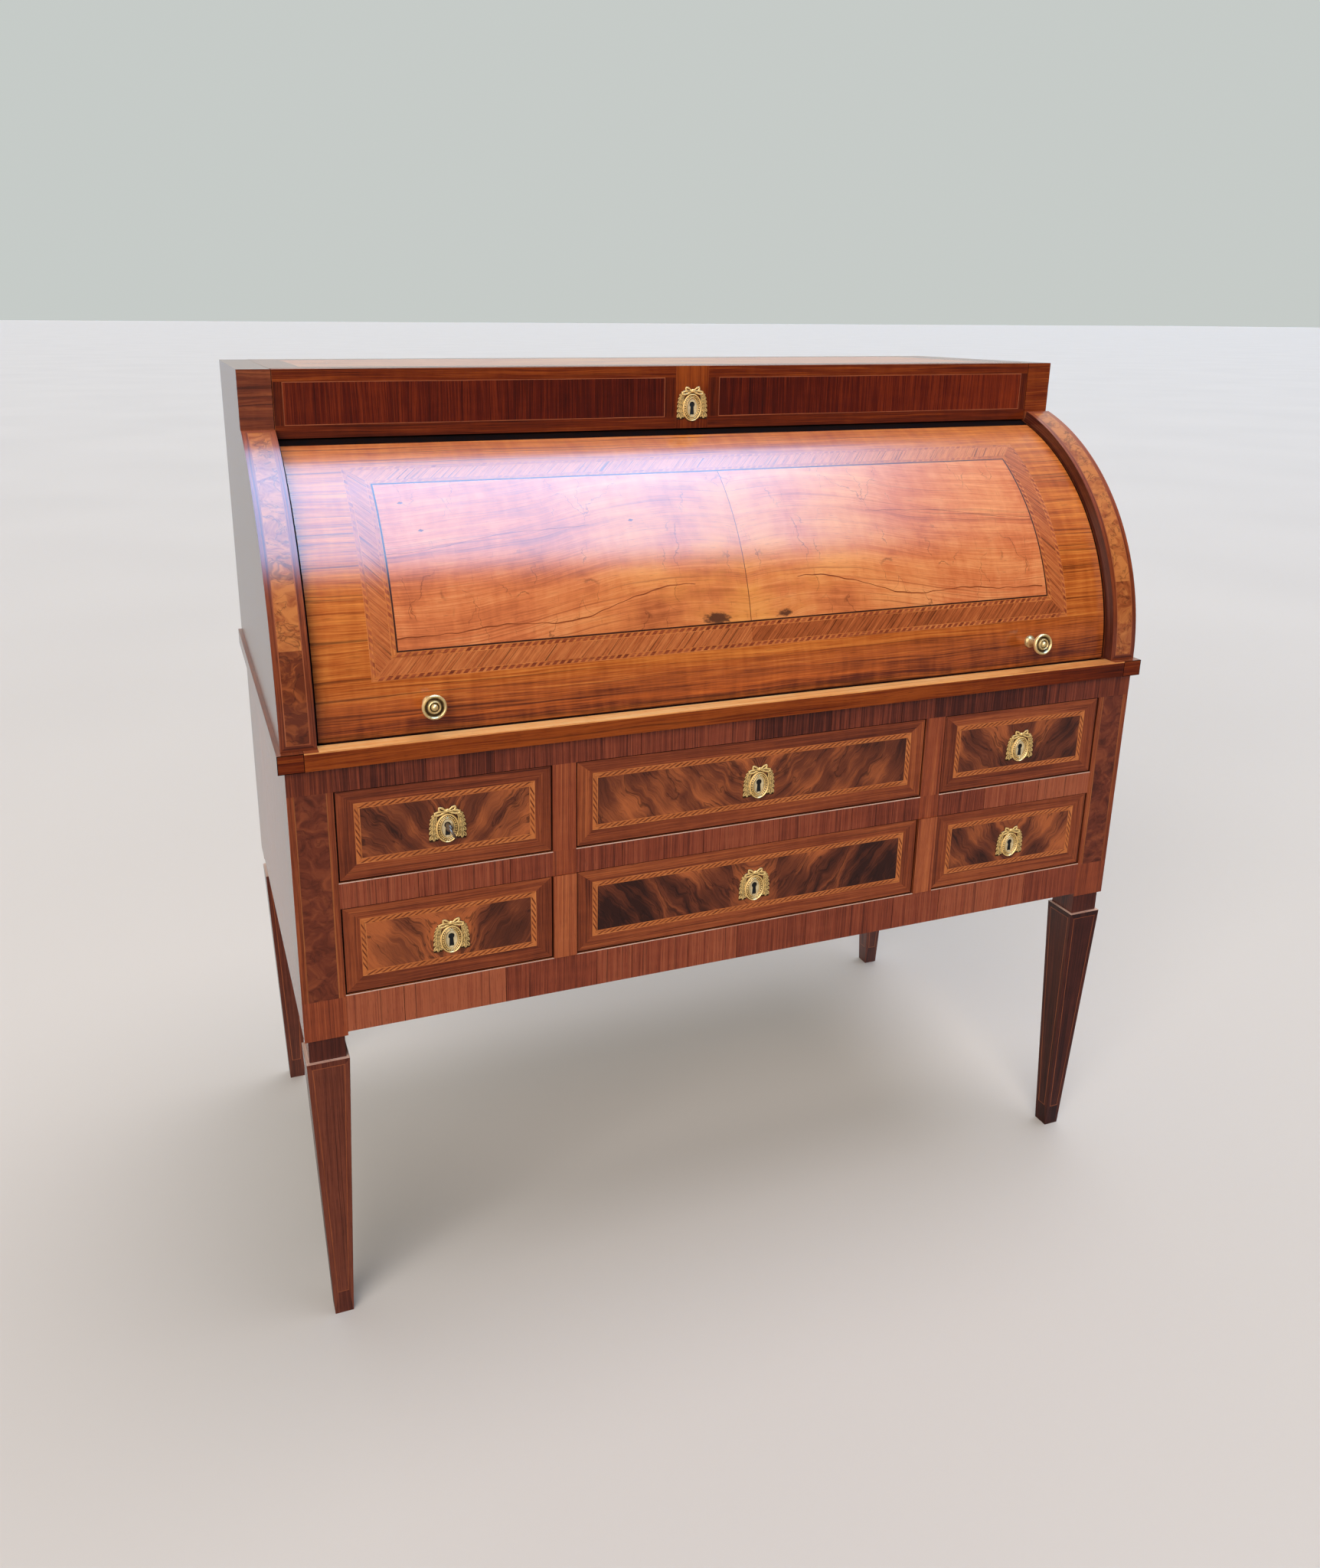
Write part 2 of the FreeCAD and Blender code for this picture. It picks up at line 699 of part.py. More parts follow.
def drawer(prefix, x, z, y, keyhole_z, box_y, box_z, hollow=None, has_key=False):
    """One drawer: front with keyhole and lock recess, box, lock and escutcheon."""
    bolt_up = hollow is None
    middle = middle_of(x)
    lock_y = (y[1] - size.lock_thickness, y[1])
    if bolt_up:
        lock_z = (keyhole_z - size.lock_tail, z[1])
    else:
        lock_z = (z[0] + size.frieze_lock_margin, keyhole_z + size.lock_tail)
    tools = [board(around(middle, size.lock_width), lock_y, lock_z)] + keyhole(middle, y, keyhole_z)
    node(f"{prefix}_front", cut(board(x, y, z), tools + ([] if bolt_up else [hollow])))
    drawer_box(f"{prefix}_box", x, box_y, box_z)
    case, bolt = lock_case(middle, lock_y, keyhole_z, lock_z, bolt_up)
    if has_key:
        node(f"{prefix}_lock", case)
        node("lock_bolt", bolt)
        node("drawer_key", key(middle, lock_y[0] + size.lock_wall, keyhole_z))
    else:
        node(f"{prefix}_lock", group([case, bolt]))
    node(f"{prefix}_escutcheon", place(group([escutcheon_pattern]), middle, y[0], keyhole_z))


def extruded(base, direction, length):
    """A solid slab, from a flat curve along a direction."""
    slab = doc.addObject("Part::Extrusion", "slab")
    slab.Base = base
    slab.DirMode = "Custom"
    slab.Dir = direction
    slab.Solid = True
    bind(slab, "LengthFwd", length)
    return slab


def ellipse_plate(wide, high, thickness, x, y, z):
    """An oval plate in the upright plane across the desk, from depth y towards the front."""
    ellipse = doc.addObject("Part::Ellipse", "oval")
    bind(ellipse, "MajorRadius", high / 2)
    bind(ellipse, "MinorRadius", wide / 2)
    ellipse.Placement.Rotation = FreeCAD.Rotation(Z_AXIS, -X_AXIS, -Y_AXIS, "ZXY")
    return extruded(place(ellipse, x, y, z), -Y_AXIS, thickness)


def leaf(x, z, angle):
    """One laurel leaf of a festoon, a flat drop that stands on the plate's back plane."""
    drop = doc.addObject("Part::Ellipsoid", "leaf")
    bind(drop, "Radius1", size.plate_thickness)
    bind(drop, "Radius2", size.leaf_length / 2)
    bind(drop, "Radius3", size.leaf_width / 2)
    drop.Placement.Rotation = FreeCAD.Rotation(Y_AXIS, angle).multiply(FreeCAD.Rotation(X_AXIS, RIGHT_ANGLE))
    return place(drop, x, ZERO, z)


def escutcheon():
    """Oval keyhole plate with a ribbon bow above and a laurel festoon down each side."""
    pieces = [ellipse_plate(size.plate_width, size.plate_height, size.plate_thickness, ZERO, ZERO, ZERO)]
    for _, sign in SIDES:
        loop = doc.addObject("Part::Torus", "ribbon")
        bind(loop, "Radius1", size.bow_loop_radius)
        bind(loop, "Radius2", size.bow_wire_radius)
        loop.Placement.Rotation = FreeCAD.Rotation(X_AXIS, RIGHT_ANGLE)
        pieces.append(place(loop, size.bow_spread * sign, ZERO, size.bow_rise))
        for number in range(LEAVES_PER_SIDE):
            share = number / (LEAVES_PER_SIDE - 1)
            angle = FESTOON_START_ANGLE + share * (FESTOON_END_ANGLE - FESTOON_START_ANGLE)
            across = size.festoon_width * (sign * math.cos(math.radians(angle)))
            up = size.festoon_height * math.sin(math.radians(angle))
            pieces.append(leaf(across, up, sign * angle))
    whole = fuse(pieces)
    behind = board((-size.festoon_width * 2, size.festoon_width * 2), (ZERO, size.plate_thickness * 4),
                   (-size.festoon_height * 2, size.festoon_height * 2))
    depth = (-size.plate_thickness * 2, ZERO)
    return cut(whole, [behind] + keyhole(ZERO, depth, ZERO))


def key(x, inside, z):
    """Small iron key: shank along Y, oval bow outside the plate and a bit inside the lock."""
    bit_y = (size.key_bit_gap, size.key_bit_gap + size.key_bit_thickness)
    shank_front = front - size.key_shank_out - inside
    shank_end = bit_y[1]
    collar_front = shank_front + size.key_collar_length
    bow_middle = shank_front - size.key_bow_length / 2
    shank = rod_along_y(size.key_shank_radius, ZERO, (shank_front - size.key_bow_bar, shank_end), ZERO)
    collar = rod_along_y(size.key_collar_radius, ZERO, (shank_front, collar_front), ZERO)
    bit = board(around(ZERO, size.key_bit_width), bit_y, (-size.key_bit_reach, ZERO))
    bow = cut(oval_bow(size.key_bow_width, size.key_bow_length, size.key_bow_thickness, bow_middle),
              [oval_bow(size.key_bow_width - size.key_bow_bar * 2, size.key_bow_length - size.key_bow_bar * 2,
                        size.key_bow_thickness, bow_middle)])
    whole = turned(fuse([shank, collar, bow, bit]), Y_AXIS, -size.key_tilt)
    return place(whole, x, inside, z)


def oval_bow(wide, long, thickness, y):
    """An oval slab in the plane of the shank, centred on it at depth y."""
    ellipse = doc.addObject("Part::Ellipse", "oval")
    bind(ellipse, "MajorRadius", long / 2)
    bind(ellipse, "MinorRadius", wide / 2)
    ellipse.Placement.Rotation = FreeCAD.Rotation(Y_AXIS, Z_AXIS, X_AXIS, "ZXY")
    return extruded(place(ellipse, -thickness / 2, y, ZERO), X_AXIS, thickness)


escutcheon_pattern = escutcheon()
belt_box_y = (belt_front_y[1], back_inside - size.drawer_back_room)
for row, opening_bottom in ROWS:
    for column, low, high in COLUMNS:
        opening_top = opening_bottom + size.drawer_opening_height
        front_x = (low + size.drawer_gap, high - size.drawer_gap)
        front_z = (opening_bottom + size.drawer_gap, opening_top - size.drawer_gap)
        box_z = (opening_bottom + size.drawer_run_gap, opening_top - size.drawer_top_room)
        drawer(f"{row}_{column}_drawer", front_x, front_z, belt_front_y,
               middle_of(front_z) - size.keyhole_drop, belt_box_y, box_z,
               has_key=(row, column) == ("upper", "left"))

frieze_x = (-upper_inner + size.drawer_gap, upper_inner - size.drawer_gap)
frieze_box_z = (frieze_floor_top + size.drawer_run_gap, top_underside - size.frieze_top_room)
shell_sweep = rod_along_x(shell_radius + size.shell_top_gap, between_sides, pivot_y, pivot_z)
frieze_join = frieze_front_back - size.drawer_run_gap
drawer("frieze_drawer", frieze_x, (frieze_lip, desk_top), (frieze_front, frieze_join),
       frieze_lip + size.frieze_keyhole_height,
       (frieze_join, back_inside - size.drawer_back_room), frieze_box_z, hollow=shell_sweep)

# Check every object, then write one file for each sub-part

doc.recompute()
failed = [thing.Name for thing in doc.Objects if {"Invalid", "Error"} & set(thing.State)]
if failed:
    raise RuntimeError(f"objects that failed: {failed}")
unsound = [thing.Label for thing in NODES if thing.Shape.isNull() or not thing.Shape.isValid()]
if unsound:
    raise RuntimeError(f"sub-parts with no sound shape: {unsound}")
os.makedirs("parts", exist_ok=True)
for thing in NODES:
    thing.Shape.exportStep(f"parts/{thing.Label}.step")
whole = FreeCAD.BoundBox()
for thing in NODES:
    whole.add(thing.Shape.BoundBox)
print(len(NODES), "sub-parts, box", whole)
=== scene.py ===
# %% [markdown]
# # Dressing a cylinder desk in veneer
#
# The solids of the desk already exist, so this lesson adds what the cabinet maker adds last: sheets of
# veneer, lines of stringing, rope banding, gilt mounts and polish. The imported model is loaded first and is
# never moved. Everything else is laid on it, so that a drawer's veneer leaves with its drawer.

# %% Load the frame
import json
import math

import bpy
import numpy as np
from mathutils import Matrix, Vector


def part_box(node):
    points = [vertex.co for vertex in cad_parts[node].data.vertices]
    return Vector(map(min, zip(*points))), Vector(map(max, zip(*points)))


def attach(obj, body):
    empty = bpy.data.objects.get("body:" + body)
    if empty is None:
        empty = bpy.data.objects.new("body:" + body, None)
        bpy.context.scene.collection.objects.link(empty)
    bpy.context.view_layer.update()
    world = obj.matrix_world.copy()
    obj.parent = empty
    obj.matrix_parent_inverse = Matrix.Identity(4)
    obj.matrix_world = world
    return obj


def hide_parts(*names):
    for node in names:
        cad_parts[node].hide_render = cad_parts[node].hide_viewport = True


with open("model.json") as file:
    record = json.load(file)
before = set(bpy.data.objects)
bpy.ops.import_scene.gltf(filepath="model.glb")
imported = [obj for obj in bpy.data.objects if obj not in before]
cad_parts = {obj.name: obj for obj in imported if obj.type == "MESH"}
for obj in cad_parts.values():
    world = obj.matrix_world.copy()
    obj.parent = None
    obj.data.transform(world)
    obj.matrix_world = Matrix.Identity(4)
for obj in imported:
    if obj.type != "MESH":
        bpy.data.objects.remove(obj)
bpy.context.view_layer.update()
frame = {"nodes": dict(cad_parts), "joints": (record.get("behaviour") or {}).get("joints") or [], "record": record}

# %% [markdown]
# ## The camera
#
# The camera stands a little to the left of the desk and above it. Its place and its three angles come from
# matching straight edges of the desk with their lines in the picture. A shift of the lens, not a turn of the
# camera, puts the picture's middle where it belongs, because a turn would make upright lines converge.

# %% Camera
IMAGE_WIDTH, IMAGE_HEIGHT = 1724, 2048
FOCAL_PIXELS, MIDDLE_X, MIDDLE_Y = 1569.33, 796.06, 883.25
SENSOR, STANDPOINT = 36.0, (-0.6870, -1.5688, 1.2441)
yaw, pitch, roll = 0.3562, -0.2897, 0.0065

ahead = Vector((math.sin(yaw) * math.cos(pitch), math.cos(yaw) * math.cos(pitch), math.sin(pitch)))
level = Vector((math.cos(yaw), -math.sin(yaw), 0))
above = level.cross(ahead)
right = level * math.cos(roll) + above * math.sin(roll)
upward = above * math.cos(roll) - level * math.sin(roll)

eye = bpy.data.cameras.new("eye")
eye.sensor_fit, eye.sensor_height, eye.sensor_width = "VERTICAL", SENSOR, SENSOR
eye.lens = FOCAL_PIXELS / IMAGE_HEIGHT * SENSOR
eye.shift_x = (IMAGE_WIDTH / 2 - MIDDLE_X) / IMAGE_HEIGHT
eye.shift_y = (MIDDLE_Y - IMAGE_HEIGHT / 2) / IMAGE_HEIGHT
camera = bpy.data.objects.new("camera", eye)
camera.matrix_world = Matrix.Translation(STANDPOINT) @ Matrix((right, upward, -ahead)).transposed().to_4x4()
bpy.context.scene.collection.objects.link(camera)
bpy.context.scene.camera = camera
bpy.context.scene.view_settings.view_transform = "Standard"
print("lens", round(eye.lens, 2), "mm")

# %% [markdown]
# ## Short names for nodes
#
# Each finish is a node tree that ends in one Principled shader. Writing its nodes out one by one is long, so
# a small class gives every node that this desk needs a short name. Values that are the same all over go
# straight onto the shader's sockets, and only patterns are linked. The surroundings use the same class.

# %% Node trees


def srgb(colour, share=1.0):
    """A colour as it is seen on screen (0 to 255), darkened to a share, as the linear numbers of shaders."""
    seen = np.array(colour) * share / 255
    return (*np.where(seen <= 0.04045, seen / 12.92, ((seen + 0.055) / 1.055) ** 2.4), 1.0)


class Finish:
    """A node tree of a material or of the surroundings. The methods add nodes and give back an output."""

    def __init__(self, owner):
        self.owner = owner
        owner.use_nodes = True
        self.nodes, self.links = owner.node_tree.nodes, owner.node_tree.links

    def put(self, socket, value):
        if isinstance(value, bpy.types.NodeSocket):
            self.links.new(value, socket)
        else:
            socket.default_value = value

    def add(self, kind, values, output=0, **settings):
        node = self.nodes.new("ShaderNode" + kind)
        for name, value in settings.items():
            setattr(node, name, value)
        for name, value in values.items():
            self.put(node.inputs[name], value)
        return node.outputs[output]

    def place(self, source):
        return self.add("TexCoord", {}, source)

    def attribute(self, name):
        return self.add("Attribute", {}, "Fac", attribute_name=name)

    def split(self, vector):
        return [self.add("SeparateXYZ", {0: vector}, axis) for axis in "XYZ"]

    def scaled(self, vector, scale):
        return self.add("Mapping", {"Vector": vector, "Scale": scale})

    def noise(self, vector, scale, detail=3.0, output="Fac", distortion=0.0):
        return self.add("TexNoise", {"Vector": self.scaled(vector, scale), "Scale": 1.0, "Detail": detail,
                                     "Roughness": 0.6, "Distortion": distortion}, output)

    def calc(self, operation, *terms):
        return self.add("Math", dict(enumerate(terms)), operation=operation)

    def plus(self, base, value, share):
        """base + share * value."""
        return self.calc("MULTIPLY_ADD", value, share, base)

    def bell(self, value, steep):
        """exp(-steep * value^2)."""
        return self.calc("EXPONENT", self.calc("MULTIPLY", self.calc("MULTIPLY", value, value), -steep))

    def from_half(self, value):
        """How far a value is from one half."""
        return self.calc("ABSOLUTE", self.calc("SUBTRACT", value, 0.5))

    def vector(self, operation, *terms):
        output = "Value" if operation == "LENGTH" else "Vector"
        return self.add("VectorMath", dict(enumerate(terms)), output, operation=operation)

    def between(self, value, low, high, to_low=0.0, to_high=1.0):
        return self.add("MapRange", {0: value, 1: low, 2: high, 3: to_low, 4: to_high},
                        interpolation_type="SMOOTHSTEP")

    def blend(self, factor, first, second):
        return self.add("Mix", {0: factor, 6: first, 7: second}, 2, data_type="RGBA")

    def ramp(self, factor, places, *colours):
        node = self.nodes.new("ShaderNodeValToRGB")
        marks = node.color_ramp.elements
        while len(marks) < len(places):
            marks.new(1.0)
        for mark, place, colour in zip(marks, places, colours):
            mark.position, mark.color = place, srgb(colour)
        self.put(node.inputs[0], factor)
        return node.outputs[0]

    def bump(self, height, strength, distance):
        return self.add("Bump", {"Height": height, "Strength": strength, "Distance": distance})

    def shade(self, **values):
        for name, value in values.items():
            self.put(self.nodes["Principled BSDF"].inputs[name.replace("_", " ")], value)


def finish_called(name):
    """A new material's node tree. Faces name their finish, so the name is all that later steps need."""
    return Finish(bpy.data.materials.new(name))


print("node trees have", len([name for name in dir(Finish) if name[0] != "_"]), "short names")

# %% [markdown]
# ## Polished wood
#
# Walnut shows three things at once: broad dark and light bands, fine fibres, and short open pores. All three
# are noise stretched along the grain, the bands tens of millimetres wide and the fibres about one. A slow
# noise first pushes the grain sideways, so no line is ruled straight. French polish lies over it as a clear
# coat, smoother than the wood below. A tile's own `tone` makes neighbouring sheets differ, as they do when
# they come from different parts of the log.

# %% Wood
COAT, WORN_COAT, COAT_ROUGHNESS, UNDER_COAT = 1.0, 0.4, 0.19, 0.12


def stretched(source, along, across):
    """Scale of a pattern that runs along the grain: UV has the grain along U, solids along a named axis."""
    if source in "XYZ":
        return tuple(along if axis == source else across for axis in "XYZ")
    return (along, across, 1)


def grain_lines(finish, source, wander, slow=(4, 16)):
    """Coordinates of the wood, pushed sideways by a slow noise of the given reach in metres."""
    spot = finish.place("Object" if source in "XYZ" else "UV")
    drift = finish.noise(spot, stretched(source, *slow), 2.0, "Color")
    drift = finish.vector("SUBTRACT", drift, (0.5, 0.5, 0.5))
    return finish.vector("MULTIPLY_ADD", drift, (2 * wander,) * 3, spot)


def polish(finish, colour, fibres, pore, coat=COAT):
    """French polish over wood: fibres vary the roughness, and open pores and fibres make the bump."""
    height = finish.calc("SUBTRACT", finish.calc("MULTIPLY", fibres, 0.4), pore)
    finish.shade(Base_Color=colour, Roughness=finish.between(fibres, 0.2, 0.8, 0.28, 0.46),
                 Normal=finish.bump(height, 0.12, 0.0004), Coat_Weight=coat, Coat_Roughness=COAT_ROUGHNESS,
                 Specular_IOR_Level=UNDER_COAT)


def wood(name, deep, body, glow, source="UV", band=(3, 110), fibre=(10, 620), wander=0.004, streak=0.5,
         pores=0.45, tone=0.12, threads=0.45, ripple=0.1, coat=COAT):
    """Straight grain: ramp(streak bands + (1 - streak) fibres + ripple waves + tone), and dark threads."""
    finish = finish_called(name)
    lines = grain_lines(finish, source, wander)
    bands = finish.noise(lines, stretched(source, *band), 4.0)
    fibres = finish.noise(lines, stretched(source, *fibre), 2.0)
    waves = finish.noise(lines, stretched(source, 60, 14), 2.0)
    thread = finish.noise(lines, stretched(source, band[0] * 0.6, fibre[1] * 0.5), 2.0)
    dashes = finish.noise(lines, stretched(source, band[0] * 16, fibre[1] * 2.2), 1.0)
    figure = finish.plus(finish.calc("MULTIPLY", fibres, 1 - streak), bands, streak)
    figure = finish.plus(figure, finish.calc("SUBTRACT", waves, 0.5), ripple)
    figure = finish.plus(figure, finish.attribute("tone"), tone)
    colour = finish.ramp(figure, (0.28, 0.5, 0.72), deep, body, glow)
    colour = finish.blend(finish.between(thread, 0.56, 0.68, 0.0, threads), colour, srgb(deep, 0.75))
    pore = finish.between(dashes, 0.6, 0.72, 0.0, pores)
    polish(finish, finish.blend(pore, colour, srgb(deep, 0.6)), fibres, pore, coat)


wood("border_walnut", (72, 28, 16), (138, 64, 34), (184, 98, 52))
wood("divider_walnut", (96, 40, 24), (150, 70, 40), (190, 104, 60), tone=0.1)
wood("plum_walnut", (44, 18, 14), (86, 38, 26), (124, 62, 42), tone=0.14)
wood("crossband_walnut", (68, 27, 17), (138, 63, 40), (172, 92, 60), band=(4, 150), threads=0.5, tone=0.14)
wood("barrel_walnut", (88, 34, 11), (181, 90, 34), (226, 136, 60), band=(2.2, 110), fibre=(9, 520),
     wander=0.006, threads=0.62, ripple=0.2)
wood("herring_walnut", (96, 42, 20), (178, 92, 48), (216, 130, 74), band=(9, 260), fibre=(30, 900),
     threads=0.75)
wood("block_walnut", (26, 11, 8), (118, 54, 30), (166, 90, 50), band=(5, 120), wander=0.008, streak=0.8)
wood("frieze_walnut", (52, 14, 4), (108, 38, 9), (158, 74, 24), wander=0.006, coat=WORN_COAT)
wood("rosewood", (34, 8, 3), (86, 22, 6), (136, 50, 16), band=(5, 200), fibre=(12, 900), threads=0.5,
     coat=WORN_COAT)
print("sheet woods", len(bpy.data.materials))

# %% [markdown]
# ## Lines, worn and lit edges, and plain wood
#
# Stringing and rope are of pale woods: boxwood, and fruitwood dyed amber. Ebony stands for the dark line
# round the field. Edges that sleeves and drawers have rubbed are the same wood without its colour, painted
# paler still as a highlight, the light from above on their rounded edges. The solids that still show get
# walnut or oak whose grain follows an axis, since they have no sheet of their own.

# %% Line woods and solid woods
NARROW = (10, 300)
wood("amber_line", (120, 58, 32), (162, 86, 50), (190, 112, 72), band=NARROW, tone=0.08)
wood("boxwood", (138, 74, 38), (190, 112, 60), (216, 142, 84), band=NARROW, tone=0.08)
wood("rope_light", (152, 78, 38), (202, 114, 58), (226, 146, 84), band=NARROW, tone=0.08)
wood("rope_dark", (88, 38, 18), (134, 64, 32), (166, 88, 46), band=NARROW, tone=0.1)
wood("ebony", (34, 16, 12), (56, 28, 20), (84, 44, 30), band=NARROW, tone=0.05)
# The next two are rubbed pale wood, painted paler still: part wear, part a painted highlight from above.
wood("worn_walnut", (196, 108, 54), (250, 174, 100), (255, 212, 150), band=(4, 160), tone=0.14)
wood("worn_edge", (176, 120, 98), (226, 186, 166), (248, 220, 204), band=(8, 160), tone=0.1)
wood("walnut_x", (84, 36, 18), (146, 72, 34), (186, 106, 54), "X", wander=0.006)
wood("walnut_y", (76, 32, 18), (132, 62, 32), (172, 94, 50), "Y", wander=0.006)
wood("walnut_z", (66, 27, 16), (118, 54, 30), (158, 84, 46), "Z", wander=0.006)
wood("back_oak", (112, 68, 36), (156, 104, 60), (188, 136, 84), pores=0.6, wander=0.008)
for axis in "XY":
    wood(f"oak_{axis.lower()}", (132, 84, 46), (178, 124, 74), (206, 154, 98), axis, pores=0.6)


def matte_dirt_and_shade(name, deep, body):
    """Dull dirt in joints and painted shade in gaps: cloudy between two darks, with no polish over it."""
    finish = finish_called(name)
    clouds = finish.noise(finish.place("Object"), (90, 90, 90), 4.0)
    finish.shade(Base_Color=finish.ramp(clouds, (0.3, 0.7), deep, body), Specular_IOR_Level=0.03,
                 Roughness=finish.between(clouds, 0.2, 0.8, 0.75, 0.95),
                 Normal=finish.bump(clouds, 0.2, 0.0004))


# One dull dark for dirt in the real joints and for painted shade in gaps and under the cylinder.
matte_dirt_and_shade("edge_dirt", (8, 4, 3), (26, 12, 8))
print("woods", len(bpy.data.materials))

# %% [markdown]
# ## Figured sheets
#
# Three veneers have more than straight grain. The drawer panels are cut where a branch leaves the trunk, so
# their grain leans over in dark and orange flames. The panels of the posts are burr, all eyes and swirls. The
# cylinder's field flows sideways and rises towards the middle, with a knot close to the joint. Both halves of
# a panel read the same sheet from the joint outwards, which opens it like a book. A picture of veneer would
# show one sheet only; noise gives each panel its own.

# %% Flame and burr


def flame(name, deep, body, glow):
    """Crotch figure: noise drawn out along a leaning line, over slow clouds, with fibres and dark veins."""
    finish = finish_called(name)
    spot = grain_lines(finish, "UV", 0.016, slow=(22, 16))
    curl = finish.scaled(finish.noise(spot, (70, 60, 1), 3.0, "Color"), (0.007, 0.007, 0))
    spot = finish.vector("ADD", spot, curl)
    leaning = finish.add("Mapping", {"Vector": spot, "Rotation": (0, 0, math.radians(-52))})
    stripes = finish.noise(leaning, (7, 44, 1), 5.0, distortion=0.8)
    fibres = finish.noise(leaning, (22, 560, 1), 2.0)
    figure = finish.plus(finish.calc("MULTIPLY", fibres, 0.14), stripes, 0.5)
    figure = finish.plus(figure, finish.noise(spot, (13, 10, 1), 2.0), 0.44)
    figure = finish.plus(figure, finish.attribute("tone"), 0.07)
    colour = finish.ramp(figure, (0.40, 0.53, 0.66), deep, body, glow)
    vein = finish.from_half(finish.noise(leaning, (5, 30, 1), 4.0))
    colour = finish.blend(finish.between(vein, 0.0, 0.018, 0.6, 0.0), colour, srgb(deep, 0.7))
    pore = finish.between(finish.noise(leaning, (90, 1500, 1), 1.0), 0.6, 0.72, 0.0, 0.35)
    polish(finish, finish.blend(pore, colour, srgb((24, 10, 7))), fibres, pore)


def burr(name, deep, body, glow, veins):
    """Burr: noise that bends itself, so the grain closes into eyes; dark veins where another is one half."""
    finish = finish_called(name)
    spot = grain_lines(finish, "UV", 0.014, slow=(34, 30))
    swirl = finish.noise(spot, (46, 34, 1), 6.0, distortion=1.6)
    vein = finish.from_half(finish.noise(spot, (24, 16, 1), 4.0, distortion=1.2))
    fibres = finish.noise(spot, (300, 80, 1), 3.0)
    figure = finish.plus(swirl, finish.attribute("tone"), 0.14)
    colour = finish.ramp(figure, (0.30, 0.5, 0.7), deep, body, glow)
    colour = finish.blend(finish.between(vein, 0.0, 0.022, veins, 0.0), colour, srgb(deep, 0.45))
    pore = finish.between(fibres, 0.62, 0.74, 0.0, 0.3)
    polish(finish, finish.blend(pore, colour, srgb(deep)), fibres, pore)


flame("flame_walnut", (54, 26, 18), (116, 57, 34), (186, 100, 54))
burr("burr_walnut", (80, 34, 20), (114, 52, 32), (144, 72, 42), 0.28)
burr("golden_burr", (104, 46, 24), (156, 80, 40), (196, 118, 62), 0.5)
print("with flame and burr", len(bpy.data.materials))

# %% [markdown]
# ## The field of the cylinder
#
# The field is the oldest-looking sheet of the desk. Its grain rises in a wide swell, parts round a knot and
# is more golden near the joint. The polish has crazed here and there, short checks cross the grain, and the
# knot is smaller in one half than in the other. Each of these is one pattern blended over the last.

# %% Flowing field
KNOT, GOLDEN, KNOT_BROWN = (0.049, 0.105, 0), (232, 156, 74), (52, 32, 28)


def flowing(name, deep, body, glow):
    """Grain height v' = v - 0.045 exp(-25 (u - 0.09)^2) + 0.012 exp(-0.8 d), d being how far the knot is."""
    finish = finish_called(name)
    spot = grain_lines(finish, "UV", 0.009, slow=(5, 14))
    u, v, _ = finish.split(spot)
    across = finish.plus(v, finish.bell(finish.calc("SUBTRACT", u, 0.09), 25.0), -0.045)
    aside = finish.vector("LENGTH", finish.scaled(finish.vector("SUBTRACT", spot, KNOT), (70, 170, 0)))
    across = finish.plus(across, finish.calc("EXPONENT", finish.calc("MULTIPLY", aside, -0.8)), 0.012)
    flow = finish.add("CombineXYZ", {0: u, 1: across})
    fibres = finish.noise(flow, (12, 520, 1), 3.0)
    clouds = finish.noise(spot, (9, 14, 1), 3.0)
    figure = finish.plus(finish.calc("MULTIPLY", fibres, 0.26), finish.noise(flow, (2.4, 60, 1), 6.0), 0.34)
    figure = finish.plus(figure, clouds, 0.28)
    figure = finish.plus(figure, finish.noise(spot, (80, 22, 1), 2.0), 0.12)
    figure = finish.plus(figure, finish.attribute("tone"), 0.035)
    colour = finish.ramp(figure, (0.34, 0.5, 0.64), deep, body, glow)
    gold = finish.calc("MULTIPLY", finish.bell(u, 30.0), finish.between(clouds, 0.35, 0.65, 0.1, 0.6))
    colour = finish.blend(gold, colour, srgb(GOLDEN))
    thread = finish.noise(flow, (1.6, 210, 1), 3.0)
    colour = finish.blend(finish.between(thread, 0.58, 0.7, 0.0, 0.5), colour, srgb(deep))
    check = finish.noise(spot, (1100, 30, 1), 2.0)
    colour = finish.blend(finish.between(check, 0.67, 0.75, 0.0, 0.5), colour, srgb(deep, 0.7))
    wobble = finish.scaled(finish.noise(spot, (45, 45, 1), 3.0, "Color"), (0.03, 0.03, 0))
    cells = finish.scaled(finish.vector("ADD", spot, wobble), (24, 12, 1))
    crazed = finish.add("TexVoronoi", {"Vector": cells, "Scale": 1.0}, "Distance", feature="DISTANCE_TO_EDGE")
    broken = finish.between(finish.noise(spot, (16, 16, 1), 2.0), 0.5, 0.6)
    cracks = finish.calc("MULTIPLY", finish.between(crazed, 0.0, 0.016, 0.55, 0.0), broken)
    colour = finish.blend(cracks, colour, srgb(deep, 0.6))
    ragged = finish.plus(aside, finish.noise(spot, (160, 260, 1), 3.0), 1.6)
    ragged = finish.plus(ragged, finish.attribute("tone"), 0.45)
    colour = finish.blend(finish.between(ragged, 1.55, 2.2, 0.85, 0.0), colour, srgb(KNOT_BROWN))
    pore = finish.between(finish.noise(flow, (60, 1100, 1), 1.0), 0.6, 0.72, 0.0, 0.4)
    polish(finish, finish.blend(pore, colour, srgb(deep)), fibres, pore)


flowing("field_walnut", (136, 60, 34), (210, 116, 68), (238, 158, 100))
print("field nodes", len(bpy.data.materials["field_walnut"].node_tree.nodes))

# %% [markdown]
# ## Metal
#
# The mounts are gilt brass that has worn on its high places and gone dark in its hollows. Each metal piece
# carries a number at every point, its `relief`, from 0 in a hollow to 1 on a ridge. The finish reads it and
# puts the patina where a cloth never reaches. The plate round a keyhole is rubbed paler than the rest.

# %% Metal


